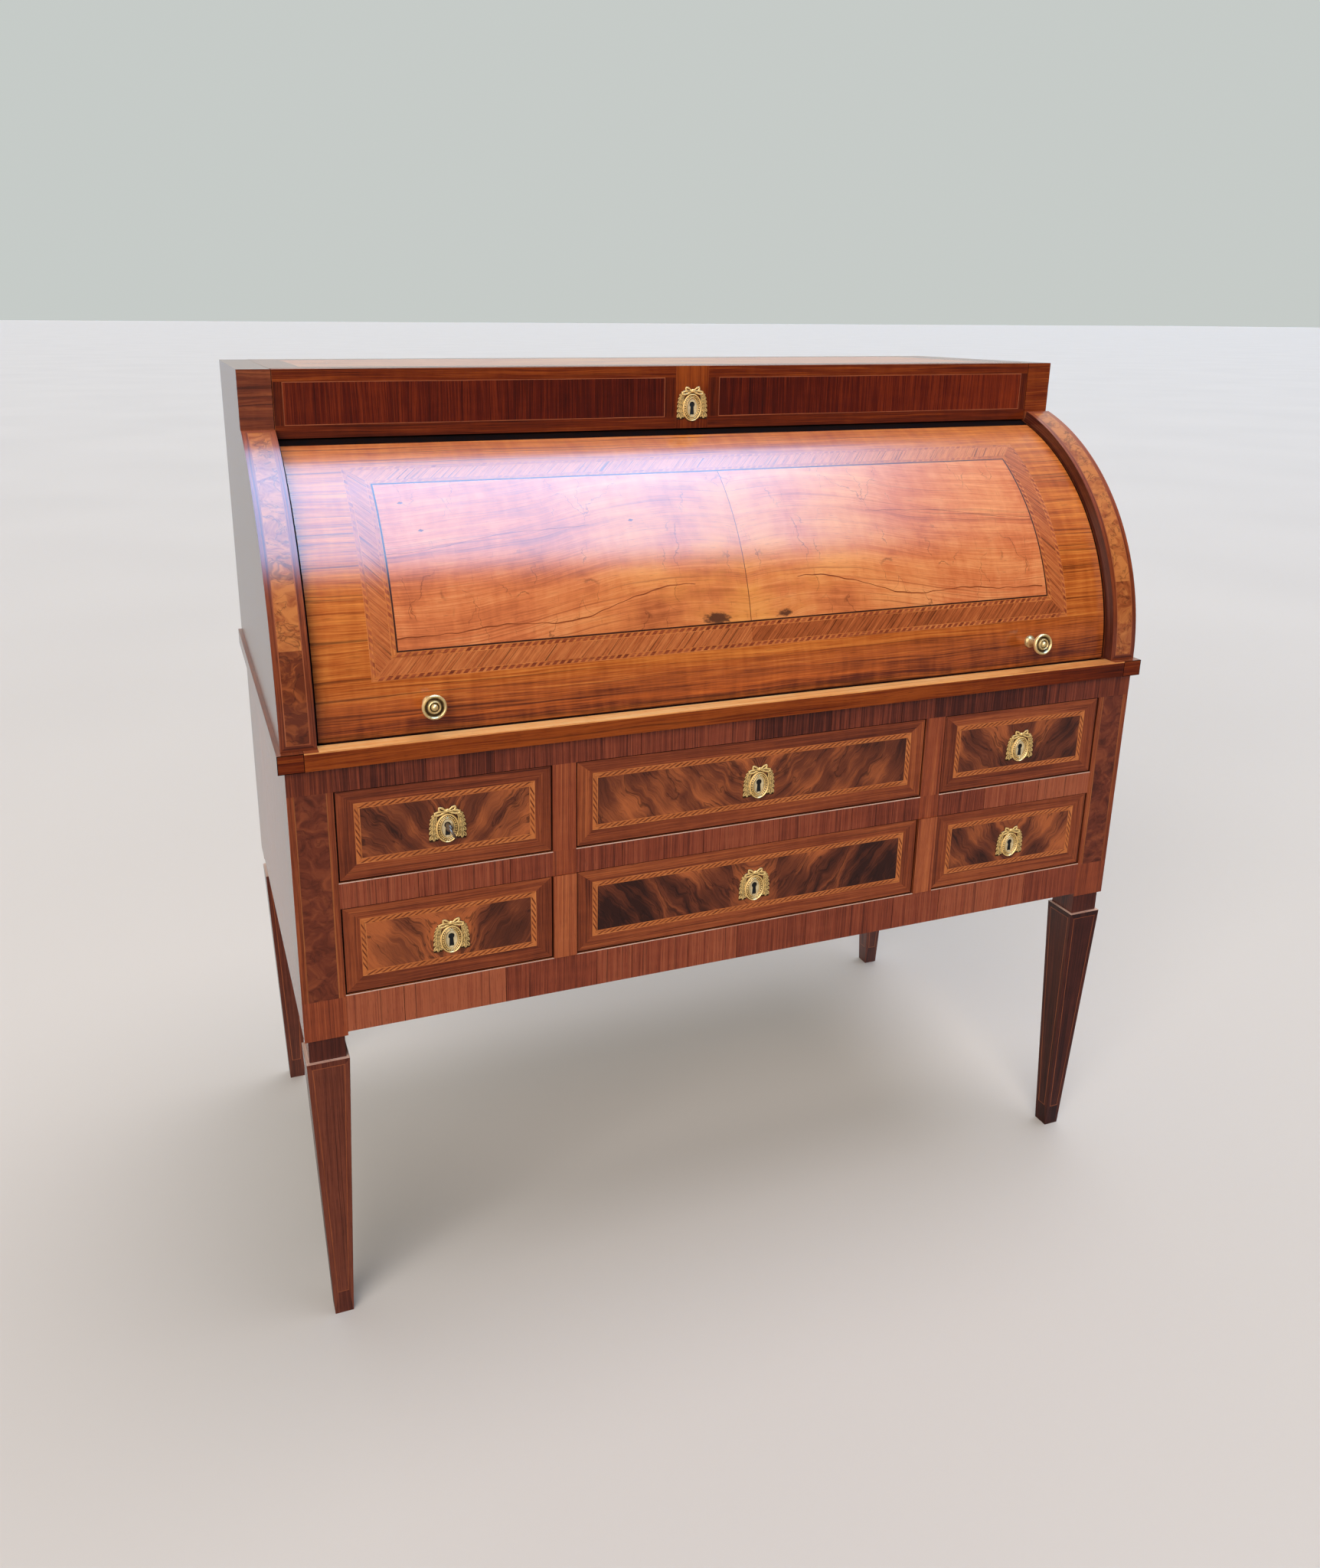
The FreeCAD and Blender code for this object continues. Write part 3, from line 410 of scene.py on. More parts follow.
def metal(name, hollow, ridge, roughness, metallic):
    """Worn metal: colour goes from hollow to ridge with relief plus a little noise."""
    finish = finish_called(name)
    spot = finish.place("Object")
    clouds = finish.noise(spot, (260, 260, 260), 3.0)
    specks = finish.noise(spot, (1400, 1400, 1400), 2.0)
    worn = finish.plus(finish.calc("SUBTRACT", finish.attribute("relief"), 0.35), clouds, 0.7)
    colour = finish.ramp(worn, (0.12, 0.75), hollow, ridge)
    colour = finish.blend(finish.between(specks, 0.62, 0.75, 0.0, 0.5), colour, srgb(hollow))
    finish.shade(Base_Color=colour, Metallic=metallic, Roughness=finish.between(clouds, 0.3, 0.7, *roughness),
                 Normal=finish.bump(specks, 0.12, 0.0003))


metal("gilt", (58, 33, 10), (255, 212, 136), (0.26, 0.44), 0.25)
metal("rubbed_gilt", (164, 132, 84), (248, 224, 176), (0.3, 0.45), 0.2)
metal("worn_brass", (78, 54, 26), (244, 208, 144), (0.26, 0.42), 0.5)
metal("forged_iron", (32, 25, 20), (122, 102, 84), (0.32, 0.5), 0.5)
# Painted shade: a dull black for the dark inside each keyhole.
metal("keyhole_dark", (8, 6, 5), (20, 16, 13), (0.5, 0.7), 0.0)
print("finishes", len(bpy.data.materials))

# %% [markdown]
# ## Floor and lamps
#
# A pale plain floor and two soft lamps stand for the studio. The broad lamp overhead lights the cylinder and
# the top, and isn't seen in the polish. The lamp at the left fills the fronts of the drawers, and no polished
# front turns towards it, so it leaves no hot spot. A floor of one colour would do for the eye, but the drawer
# fronts mirror it, so what a ray from the desk sees is darker in front than behind.

# %% Floor and lamps
FLOOR_HALF = 300.0
floor_mesh = bpy.data.meshes.new("floor")
floor_mesh.from_pydata([(-FLOOR_HALF, -FLOOR_HALF, 0), (FLOOR_HALF, -FLOOR_HALF, 0),
                        (FLOOR_HALF, FLOOR_HALF, 0), (-FLOOR_HALF, FLOOR_HALF, 0)], [], [(0, 1, 2, 3)])
floor = bpy.data.objects.new("floor", floor_mesh)
bpy.context.scene.collection.objects.link(floor)
pale = finish_called("pale_floor")
spot = pale.place("Object")
mirrored = pale.blend(pale.between(pale.split(spot)[1], -0.5, 0.6), srgb((92, 84, 78)), srgb((186, 184, 178)))
dust = pale.ramp(pale.noise(spot, (0.6, 0.6, 0.6), 1.0), (0.3, 0.7), (210, 202, 195), (214, 206, 199))
pale.shade(Base_Color=pale.blend(pale.add("LightPath", {}, "Is Camera Ray"), mirrored, dust), Roughness=0.6,
           Specular_IOR_Level=0.2)
floor_mesh.materials.append(pale.owner)


def lamp(name, towards, degrees, strength, colour, mirrored=True):
    """A far, soft light: a round patch of sky as wide as the angle, seen in the given direction."""
    light = bpy.data.lights.new(name, "SUN")
    light.angle, light.energy, light.color = math.radians(degrees), strength, colour
    holder = bpy.data.objects.new(name, light)
    holder.rotation_euler = Vector(towards).to_track_quat("Z", "Y").to_euler()
    holder.visible_glossy = mirrored
    bpy.context.scene.collection.objects.link(holder)


lamp("overhead_window", (0.24, 0.0, 0.97), 40, 1.4, (0.97, 0.95, 1.0), mirrored=False)
lamp("left_window", (-0.55, -0.70, 0.45), 50, 3.0, (1.0, 0.98, 0.95))

# %% [markdown]
# ## Surroundings
#
# Behind the desk the surroundings are pale and in front they are dimmer, so that the grazing sides mirror a
# pale room while the drawer fronts keep their depth. The sheen on the cylinder is a tall window that only
# mirror reflections see. A lamp in its place would light the wood too; a patch of the surroundings, bounded
# by soft edges across and up, gives the sheen alone.

# %% Surroundings
WINDOW_X, WINDOW_Y, WINDOW_GLOW = (-0.16, 0.04, 0.41, 0.60), (-0.66, -0.44, 0.06, 0.73), 15.5
ROOM_COLOUR, WINDOW_COLOUR = (232, 238, 234), (138, 196, 255)
PALE, DIM, SEEN = 0.72, 0.04, 0.70
air = Finish(bpy.data.worlds.new("surroundings"))
bpy.context.scene.world = air.owner


def pane(value, edges):
    """1 between the two inner edges and 0 outside the outer two, with a smooth step between."""
    rise, fall = (air.between(value, outside, inside) for outside, inside in (edges[:2], edges[:1:-1]))
    return air.calc("MULTIPLY", rise, fall)


aside, behind, _ = air.split(air.place("Generated"))
room = air.add("MapRange", {0: behind, 1: -0.1, 2: 0.5, 3: DIM, 4: PALE})
camera_ray, mirror_ray = (air.add("LightPath", {}, f"Is {kind} Ray") for kind in ("Camera", "Glossy"))
window = air.calc("MULTIPLY", pane(aside, WINDOW_X), pane(behind, WINDOW_Y))
window = air.calc("MULTIPLY", window, WINDOW_GLOW)
backdrop = air.nodes["Background"]
air.put(backdrop.inputs["Color"], srgb(ROOM_COLOUR))
air.put(backdrop.inputs["Strength"], air.add("Mix", {0: camera_ray, 2: room, 3: SEEN}, data_type="FLOAT"))
mirrored_glow = air.calc("MULTIPLY", mirror_ray, window)
glow = air.add("Background", {"Color": srgb(WINDOW_COLOUR), "Strength": mirrored_glow})
air.put(air.nodes["World Output"].inputs["Surface"], air.add("AddShader", {0: backdrop.outputs[0], 1: glow}))
print("surroundings have", len(air.nodes), "nodes")

# %% [markdown]
# ## Surfaces
#
# Every sheet of veneer is a four-cornered tile on some surface of the desk, flat or curved. A surface is a
# function: give it a point across and up the sheet and it gives back the place in space and the direction
# outwards. So one way of laying serves the flat fronts and the round ones alike. Lengths are millimetres.

# %% Surfaces
MM = 0.001
SIDES = ((-1, "left"), (1, "right"))
roll_joint = next(j for j in frame["joints"] if j["name"] == "cylinder_roll")
PIVOT_Y, PIVOT_Z = np.array(roll_joint["pos_m"][1:]) / MM


def span(node):
    """Lowest and highest corner of a CAD node."""
    low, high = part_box(node)
    return np.array(low) / MM, np.array(high) / MM


def plane(origin, across, up):
    """Flat surface: P = origin + a across + b up, with the outward side at across x up."""
    origin, across, up = (np.array(v, float) for v in (origin, across, up))
    outward = np.cross(across, up)
    outward /= np.linalg.norm(outward)
    return lambda a, b: (origin + a[..., None] * across + b[..., None] * up,
                         np.broadcast_to(outward, a.shape + (3,)))


def front(y):
    """The upright plane at y that faces the sitter."""
    return plane((0, y, 0), (1, 0, 0), (0, 0, 1))


def front_of(node):
    """A CAD node's front: its plane and its rectangle (left, right, bottom, top)."""
    low, high = span(node)
    return front(low[1]), (low[0], high[0], low[2], high[2])


def tabletop(z, middle=(0, 0)):
    """The level plane at height z, measured from a middle point."""
    return plane((*middle, z), (1, 0, 0), (0, 1, 0))


def barrel(radius):
    """Round surface about the cylinder's pins: with t = b / r, P = pivot + (a, -r cos t, r sin t)."""
    def surface(a, b):
        t = b / radius
        outward = np.stack([np.zeros_like(t), -np.cos(t), np.sin(t)], -1)
        axis_point = np.stack([a, np.full_like(a, PIVOT_Y), np.full_like(a, PIVOT_Z)], -1)
        return axis_point + radius * outward, outward
    return surface


print("the cylinder turns about y", round(PIVOT_Y, 2), "z", round(PIVOT_Z, 2))

# %% [markdown]
# ## Tiles
#
# A tile's corners are joined by a bilinear grid, the grid is put through the surface, and a copy of it a
# little deeper closes the sheet into a thin slab. A sheet cut out of a texture would blur at its edges, while
# a slab keeps a crisp joint at any distance. Corners come in arrays, so a whole border is one call.

# %% Corners and slabs
PROUD, SINK, FLAT = 0.25, 0.5, (1, 1)
LEVEL, UPRIGHT = 0.0, math.pi / 2


def rects(a0, a1, b0, b1):
    """Rectangles from low and high edges, numbers or arrays; corners run anticlockwise from lower left."""
    edges = [np.atleast_1d(np.asarray(edge, float)) for edge in (a0, a1, b0, b1)]
    a0, a1, b0, b1 = np.broadcast_arrays(*edges)
    return np.stack([np.stack(pair, -1) for pair in ((a0, b0), (a1, b0), (a1, b1), (a0, b1))], 1)


def strips_between(far, near):
    """Four strips between the corners of two outlines, mitred: bottom, right, top, left."""
    following = [1, 2, 3, 0]
    return np.stack([far, far[following], near[following], near], 1)


def mitred(outer, inner):
    """The same between two rectangles (left, right, bottom, top)."""
    return strips_between(rects(*outer)[0], rects(*inner)[0])


def shrunk(box, *margins):
    """A rectangle with a margin taken off: one for all sides, or left, right, bottom, top."""
    left, right, bottom, top = margins * 4 if len(margins) == 1 else margins
    return (box[0] + left, box[1] - right, box[2] + bottom, box[3] - top)


def lay(surface, corners, finish, grain=LEVEL, tone=0.0, steps=FLAT, proud=PROUD, book=None, seed=0,
        grid=None):
    """Closed slabs. Between a tile's corners Q = (1-s)(1-t) c0 + s(1-t) c1 + st c2 + (1-s)t c3.

    The outside is P(Q) + proud n, the inside P(Q) - SINK n, and U runs along the grain. tone is one number,
    one for each tile or one for each corner. book is the joint (a, b) from which a matched sheet is read both
    ways, and where on the sheet it starts. grid gives the points Q themselves.
    """
    count, start = len(corners), corners.mean(1)
    away = np.random.default_rng(seed).uniform(0, 900, (count, 2))
    flip = np.ones(count)
    if book is not None:
        flip = np.where(start[:, 0] < book[0], -1.0, 1.0)
        start, away = (np.broadcast_to(np.array(pair, float), (count, 2))
                       for pair in (book[:2], book[2:] or (0, 0)))
    tone = np.asarray(tone, float)
    tone = np.broadcast_to(tone if tone.ndim == 2 else tone[..., None], (count, 4))
    s, t = np.meshgrid(*(np.linspace(0, 1, n + 1) for n in steps), indexing="ij")
    weights = np.stack([(1 - s) * (1 - t), s * (1 - t), s * t, (1 - s) * t])
    q, tone = np.einsum("kij,nkx->nijx", weights, corners), np.einsum("kij,nk->nij", weights, tone)
    if grid is not None:
        q, tone = grid, np.zeros(grid.shape[:3])

    place, outward = surface(q[..., 0], q[..., 1])
    number = np.arange(2 * tone[0].size).reshape(2, *tone.shape[1:])
    cells = lambda g: np.stack([g[:-1, :-1], g[1:, :-1], g[1:, 1:], g[:-1, 1:]], -1).reshape(-1, 4)
    rim = lambda g: np.concatenate([g[:-1, 0], g[-1, :-1], g[:0:-1, -1], g[0, :0:-1]])
    outer, inner = rim(number[0]), rim(number[1])
    walls = np.stack([inner, np.roll(inner, -1), np.roll(outer, -1), outer], -1)
    faces = np.concatenate([cells(number[0]), cells(number[1])[:, ::-1], walls])
    faces = (faces + (np.arange(count) * number.size)[:, None, None]).reshape(-1, 4)

    turn = np.broadcast_to(np.asarray(grain, float), (count,))[:, None, None]
    a, b = np.moveaxis(q - start[:, None, None], -1, 0)
    a = a * flip[:, None, None]
    uv = np.stack([a * np.cos(turn) + b * np.sin(turn), b * np.cos(turn) - a * np.sin(turn)], -1)
    both = lambda values: np.repeat(values[:, None], 2, 1)
    return {"verts": np.stack([place + outward * proud, place - outward * SINK], 1).reshape(-1, 3),
            "faces": [faces], "uv": both(uv + away[:, None, None]).reshape(-1, 2), "tone": both(tone).ravel(),
            "relief": np.zeros(count * number.size), "finish": np.repeat([finish], len(faces))}


print("a tile closes into", len(lay(front(0), rects(0, 10, 0, 10), "boxwood")["faces"][0]), "faces")

# %% [markdown]
# ## From arrays to a piece
#
# Slabs and turned shapes are joined into one mesh, put where they belong and told which body they ride on.
# Edges sharper than a small angle stay crisp and the rest is shaded smooth, so a curve of many flats looks
# round in its polish. One object for each sheet would be simpler, but they would be some hundreds.

# %% Pieces
SMOOTH_BELOW = math.radians(32)


def piece(name, parts, body, replaces=()):
    """One object from several arrays of faces, riding on a body."""
    gather = lambda key: np.concatenate([part[key] for part in parts])
    offset = np.cumsum([0] + [len(part["verts"]) for part in parts])
    faces = [face for part, first in zip(parts, offset) for kind in part["faces"]
             for face in (kind + first).tolist()]
    finishes = gather("finish")
    kinds = list(dict.fromkeys(finishes))
    mesh = bpy.data.meshes.new(name)
    mesh.from_pydata((gather("verts") * MM).tolist(), [], faces)
    mesh.polygons.foreach_set("material_index", np.array([kinds.index(f) for f in finishes], np.int32))
    corners = np.zeros(len(mesh.loops), np.int32)
    mesh.loops.foreach_get("vertex_index", corners)
    sheet_map = mesh.uv_layers.new(name="grain")
    sheet_map.data.foreach_set("uv", (gather("uv") * MM)[corners].ravel())
    for key in ("tone", "relief"):
        values = mesh.attributes.new(key, "FLOAT", "POINT")
        values.data.foreach_set("value", gather(key).astype(np.float32))
    for kind in kinds:
        mesh.materials.append(bpy.data.materials[kind])
    mesh.shade_smooth()
    mesh.set_sharp_from_angle(angle=SMOOTH_BELOW)
    thing = bpy.data.objects.new(name, mesh)
    bpy.context.scene.collection.objects.link(thing)
    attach(thing, body)
    if replaces:
        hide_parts(*replaces)
    print(name, len(mesh.polygons), "faces")


print("edges stay crisp from", round(math.degrees(SMOOTH_BELOW)), "degrees")

# %% [markdown]
# ## Banding
#
# Rope banding is a light strip let into the veneer with dark slanting lozenges along it, so at arm's length
# it twists like a cord. Stringing is a plain light line about a millimetre wide. Crossbanding sets the grain
# across the rail in a row of short sheets, each of a slightly different tone, with hairline joints between.

# %% Banding
RISEN, HAIR = PROUD + 0.06, 0.3
FRAME_GRAIN, CROSS_GRAIN = np.array([LEVEL, UPRIGHT] * 2), np.array([UPRIGHT, LEVEL] * 2)


def rope(surface, box, width, pitch, steps=FLAT, dark=0.42, lean=1.2, strand="rope_dark", sheen_lift=(0, 0, 0, 0)):
    """Rope round a rectangle: light mitred strips, and lozenges every pitch along the four runs in turn.

    A lozenge takes up the dark share of a pitch and leans over by a share of it; the last argument lifts a
    run's lozenges lighter, a painted highlight where the sheen washes the rope out.
    """
    parts = [lay(surface, mitred(box, shrunk(box, width)), "rope_light", FRAME_GRAIN, steps=steps, seed=3)]
    near, far = -lean / 5, lean * 0.8
    outline = np.array([(near, 0.12), (dark + near, 0.12), (dark + far, 0.88), (far, 0.88)])
    corner = rects(*box)[0]
    for start, stop, lift in zip(corner, np.roll(corner, -1, 0), sheen_lift):
        length = np.abs(stop - start).sum()
        along = (stop - start) / length
        inward = np.array([-along[1], along[0]])
        count = int((length - width * 1.6) / pitch)
        first = (length - count * pitch) / 2
        s = first + (np.arange(count)[:, None] + outline[:, 0] - 0.1) * pitch
        w = np.broadcast_to(outline[:, 1] * width, s.shape)
        lozenges = start + s[..., None] * along + w[..., None] * inward
        grain = np.arctan2(along[1], along[0])
        tone = np.random.default_rng(count).uniform(-1, 1, count) + lift
        parts.append(lay(surface, lozenges, strand, grain, tone, proud=RISEN, seed=5))
    return parts


def string_line(surface, box, width, steps=FLAT, finish="boxwood"):
    """A stringing line just inside a rectangle."""
    return lay(surface, mitred(box, shrunk(box, width)), finish, FRAME_GRAIN, steps=steps)


def crossband(surface, box, mean, seed, lift):
    """A row of upright-grained sheets of uneven width, with dark hairline joints between them."""
    rng = np.random.default_rng(seed)
    count = max(1, int(round((box[1] - box[0]) / mean)))
    cuts = np.concatenate([[0], np.cumsum(rng.uniform(0.45, 1.55, count))])
    cuts = box[0] + cuts / cuts[-1] * (box[1] - box[0])
    tone = lift + rng.uniform(-1, 1, count)
    sheets = rects(cuts[:-1] + HAIR, cuts[1:] - HAIR, box[2], box[3])
    joints = rects(cuts[1:-1] - HAIR, cuts[1:-1] + HAIR, box[2], box[3])
    return [lay(surface, sheets, "crossband_walnut", UPRIGHT, tone, seed=seed),
            lay(surface, joints, "edge_dirt")]


def framed(surface, whole, border, line, seed, tone=0.0):
    """A crossbanded border and a stringing line inside it; also gives back the rectangle that is left."""
    lined = shrunk(whole, border)
    return [lay(surface, mitred(whole, lined), "border_walnut", CROSS_GRAIN, tone, seed=seed),
            string_line(surface, lined, line)], shrunk(lined, line)


trial = rope(front(0), (0, 200, 0, 80), 7, 8.4)
print("rope round 200 by 80 mm has", sum(len(part["finish"]) for part in trial), "faces")

# %% [markdown]
# ## The cylinder: border and bands
#
# The rolling front carries the show veneer. From the outside in there is a broad border with level grain, a
# rope, a band with slanting grain, a second rope, and a dark line round the field. All of it is bent round
# the barrel by the same call that lays flat sheets, only with more steps. Dark strips at the crown and the
# ends are painted shade where the cylinder runs in behind the desk. The border is painted darker towards
# its foot, for the shade low on the drum, and the rope strands are painted lighter, most on the top and left
# runs, a painted highlight where the sheen washes them out.

# %% Cylinder border and bands
ROPE, BAND, DARK_LINE, END = 6.0, 19.0, 2.0, 2.0
# Strand lifts for the bottom, right, top and left runs: painted lighter where the sheen washes the rope out.
DRUM_PITCH, FAT, UPSTANDING, ROPE_SHEEN_LIFT = 9.0, 0.6, 0.5, (0.0, 0.5, 2.5, 1.5)
ARC, BEND = (1, 48), (48, 3)
BAND_CUT, BAND_GRAIN, BAND_TONE = -5.0, np.radians([48, 132, 48, 132, 48]), [0.5, 0.2, 1.2, 0.5, -0.4]
low, high = span("cylinder_shell")
SHELL, HALF = PIVOT_Y - low[1], high[0]
drum = barrel(SHELL)
sill, shade, crown = low[2] - PIVOT_Z, SHELL * math.radians(68.2), SHELL * math.radians(77)
outer = (-485.5, 485.5, 65.4, 347.0)
inside_rope = shrunk(outer, ROPE)
inside_band = shrunk(inside_rope, BAND)
inside_inner = shrunk(inside_band, ROPE)
edge = HALF - END
border = rects([-edge, -edge, -edge, outer[1]], [edge, edge, outer[0], edge],
               [sill, outer[3], outer[2], outer[2]], [outer[2], shade, outer[3], outer[3]])
# The bottom strip is painted darker towards its foot: painted shade low on the drum.
border_tone = [(-1.2, -1.5, 0.2, 0.8), (0.7,) * 4, (0.3, 0.3, 0.9, 0.9), (0.1, 0.1, 0.5, 0.5)]
# Painted shade: dark strips at the crown under the frieze and at the two ends of the cylinder.
shadowed = rects([-edge, -HALF, edge], [edge, -edge, HALF], [shade, sill, sill], crown)
band = mitred(inside_rope, inside_band)
cut = np.array([(BAND_CUT, inside_rope[2]), (BAND_CUT, inside_band[2])])
band = np.concatenate([band, [[cut[0], band[0, 1], band[0, 2], cut[1]]]])
band[0, 1:3] = cut
parts = [lay(drum, border, "barrel_walnut", LEVEL, border_tone, ARC, seed=21),
         lay(drum, shadowed, "edge_dirt", steps=ARC),
         lay(drum, band, "herring_walnut", BAND_GRAIN, BAND_TONE, BEND, seed=8),
         string_line(drum, inside_inner, DARK_LINE, BEND, "ebony")]
for box in (outer, inside_band):
    parts += rope(drum, box, ROPE, DRUM_PITCH, BEND, FAT, UPSTANDING, "divider_walnut", ROPE_SHEEN_LIFT)
print("cylinder radius", round(SHELL, 2), "mm, border and bands of", len(parts), "kinds")

# %% [markdown]
# ## The cylinder: field, veins and blemishes
#
# The field is two leaves of one sheet, opened like a book at a joint just left of the middle and a little out
# of upright. A dark vein and a thinner one run through both halves like a reflection. Painting them into the
# finish would blur them, so each is a narrow strip along a path, smoothed so that it wanders instead of
# bending at points. Three small dark blemishes are tiles.

# %% Cylinder field
JOINT = -3.0
field = shrunk(inside_inner, DARK_LINE)
corner = rects(*field)[0]
seam_low, seam_high, gap = np.array([(-4.6, field[2]), (-0.2, field[3]), (0.4, 0.0)])
halves = np.array([[corner[0], seam_low - gap, seam_high - gap, corner[3]],
                   [seam_low + gap, corner[1], corner[2], seam_high + gap]])
seam = np.array([[seam_low - gap, seam_low + gap, seam_high + gap, seam_high - gap]])
parts += [lay(drum, halves, "field_walnut", tone=[0.0, 1.0], steps=ARC, book=(JOINT, 0.0)),
          lay(drum, seam, "ebony", UPRIGHT, steps=ARC, proud=PROUD - 0.05)]


def smooth_path(points, count, spread):
    """A path through points, read at even steps and blurred by a bell curve of the given spread in steps."""
    points = np.array(points, float)
    at = np.linspace(points[0, 0], points[-1, 0], count)
    bell = np.exp(-0.5 * (np.arange(-3 * spread, 3 * spread + 1) / spread) ** 2)
    height = np.pad(np.interp(at, points[:, 0], points[:, 1]), 3 * spread, mode="edge")
    return np.stack([at, np.convolve(height, bell / bell.sum(), "valid")], -1)


vein = smooth_path([(72, 149), (93, 152.5), (112, 150), (172, 135), (215, 119), (252, 114.5), (300, 118),
                    (330, 119), (375, 113), (450, 112)], 90, 3)
thin_vein = smooth_path([(196, 237), (253, 234), (295, 233), (337, 227), (378, 219), (428, 212.5),
                         (457, 213)], 60, 3)
for path, thick in ((vein, 0.4), (thin_vein, 0.2)):
    width = thick * (1 + np.sin(np.linspace(0, 11, len(path))) ** 2)[:, None]
    path[:, 1] += 2 * thick * np.sin(path[:, 0] / 4.7) * np.sin(path[:, 0] / 19.0)
    for side, _ in SIDES:
        line = np.stack([JOINT + side * path[:, 0], path[:, 1]], -1)
        edges = np.stack([line - [0, 1] * width, line + [0, 1] * width], 1)[::side]
        parts.append(lay(drum, rects(0, 1, 0, 1), "rope_dark", proud=RISEN, grid=edges[None]))
BLEMISH = np.array([(-4.0, -0.6), (0.5, -1.8), (3.6, 0.2), (-0.8, 1.9)])
blemishes = np.array([(-425.0, 283.0), (-407.0, 242.0), (-143.0, 241.0)])[:, None] + BLEMISH
parts.append(lay(drum, blemishes, "rope_dark", tone=-1.0, proud=RISEN))
piece("cylinder_veneer", parts, "cylinder")

# %% [markdown]
# ## Drawer fronts
#
# Each belt drawer has a mitred border of straight walnut, a rope, and a dark flamed panel opened from its
# middle. The same loop lays all six, with a different part of the sheet for each and its own tone at the left
# end, the middle and the right end. A thin dark line round the front is painted shade, the shadow in the gap
# to the rails, and a small dark plate behind each keyhole is painted shade for the dark inside the hole.

# %% Belt drawers
SIDE_BORDER, BOTTOM_BORDER, TOP_BORDER, DRAWER_ROPE, DRAWER_PITCH, GAP_SHADE = 21.0, 19.5, 16.5, 7.0, 8.4, 1.1
UPPER_KEYHOLE, LOWER_KEYHOLE, FRIEZE_KEYHOLE = 671.0, 525.0, 1132.0
FLAME_TONE = np.array([(-0.3, 0.3, 0.9), (0.0, 0.7, -0.7), (0.4, -0.2, -0.5),
                       (1.1, 0.7, -1.2), (-1.4, 0.8, -1.4), (-0.9, 0.2, 0.4)])
KEYHOLES = {f"{row}_{column}_drawer": height
            for row, height in (("upper", UPPER_KEYHOLE), ("lower", LOWER_KEYHOLE))
            for column in ("left", "middle", "right")}
KEYHOLE_HALF, KEYHOLE_BELOW, KEYHOLE_ABOVE = 5, 15, 6


def keyhole_shade_plate(surface, x, z):
    """Painted shade for the dark inside a keyhole: a dull black plate behind its escutcheon."""
    slot = rects(x - KEYHOLE_HALF, x + KEYHOLE_HALF, z - KEYHOLE_BELOW, z + KEYHOLE_ABOVE)
    return lay(surface, slot, "keyhole_dark", proud=RISEN)


for number, (drawer, keyhole_z) in enumerate(KEYHOLES.items()):
    face, whole = front_of(f"{drawer}_front")
    # A strip round the front's edge is painted shade, the shadow in the gap to the rails.
    inside_gap_shade = shrunk(whole, GAP_SHADE, GAP_SHADE, GAP_SHADE, GAP_SHADE / 2)
    roped = shrunk(whole, SIDE_BORDER, SIDE_BORDER, BOTTOM_BORDER, TOP_BORDER)
    panel = shrunk(roped, DRAWER_ROPE)
    middle = (whole[0] + whole[1]) / 2
    frame_tone = np.random.default_rng(number).uniform(-0.6, 0.6, 4)
    halves = rects([panel[0], middle], [middle, panel[1]], panel[2], panel[3])
    parts = [lay(face, mitred(whole, inside_gap_shade), "edge_dirt"),
             lay(face, mitred(inside_gap_shade, roped), "border_walnut", FRAME_GRAIN, frame_tone, seed=30 + number),
             lay(face, halves, "flame_walnut", tone=FLAME_TONE[number][[[0, 1, 1, 0], [1, 2, 2, 1]]],
                 book=(middle, panel[2], 137.0 * number, 61.0 * number)),
             keyhole_shade_plate(face, middle, keyhole_z)]
    piece(f"{drawer}_veneer", parts + rope(face, roped, DRAWER_ROPE, DRAWER_PITCH), drawer)

# %% [markdown]
# ## The frieze
#
# The shallow drawer at the top is one long front. Two fields of dark rosewood with upright grain lie inside
# thin light lines, with level-grained borders above and below and a plain block in the middle for the lock.
# Light has faded the fields towards their outer ends, so each corner of their tiles has its own tone.

# %% Frieze drawer
BLOCK_HALF, LINE_NEAR, LINE_FAR, LINE_LOW, LINE_HIGH, FRIEZE_LINE = 24.0, 40.0, 541.0, 1116.0, 1168.0, 0.9
FADED = {-1: [(0.5, -0.4, -0.4, 0.5)], 1: [(-0.4, 1.0, 1.0, -0.4)]}
face, whole = front_of("frieze_drawer_front")
block = rects(-BLOCK_HALF, BLOCK_HALF, whole[2], whole[3])
parts = [lay(face, block, "frieze_walnut", UPRIGHT, [(0.0, 0.0, 1.4, 1.4)]),
         keyhole_shade_plate(face, 0.0, FRIEZE_KEYHOLE)]
for side, _ in SIDES:
    near, far = sorted((side * BLOCK_HALF, side * whole[1]))
    near, far = near + HAIR, far - HAIR
    boxed = (*sorted((side * LINE_NEAR, side * LINE_FAR)), LINE_LOW, LINE_HIGH)
    borders = rects([near, boxed[1], near, near], [far, far, far, boxed[0]],
                    [whole[2], LINE_LOW, LINE_HIGH, LINE_LOW], [LINE_LOW, LINE_HIGH, whole[3], LINE_HIGH])
    parts += [lay(face, borders, "frieze_walnut", FRAME_GRAIN, [-0.4, -0.8, 0.4, -0.8], seed=50 + side),
              string_line(face, boxed, FRIEZE_LINE, finish="amber_line"),
              lay(face, rects(*shrunk(boxed, FRIEZE_LINE)), "rosewood", UPRIGHT, FADED[side], seed=60 + side)]
piece("frieze_veneer", parts, "frieze_drawer")
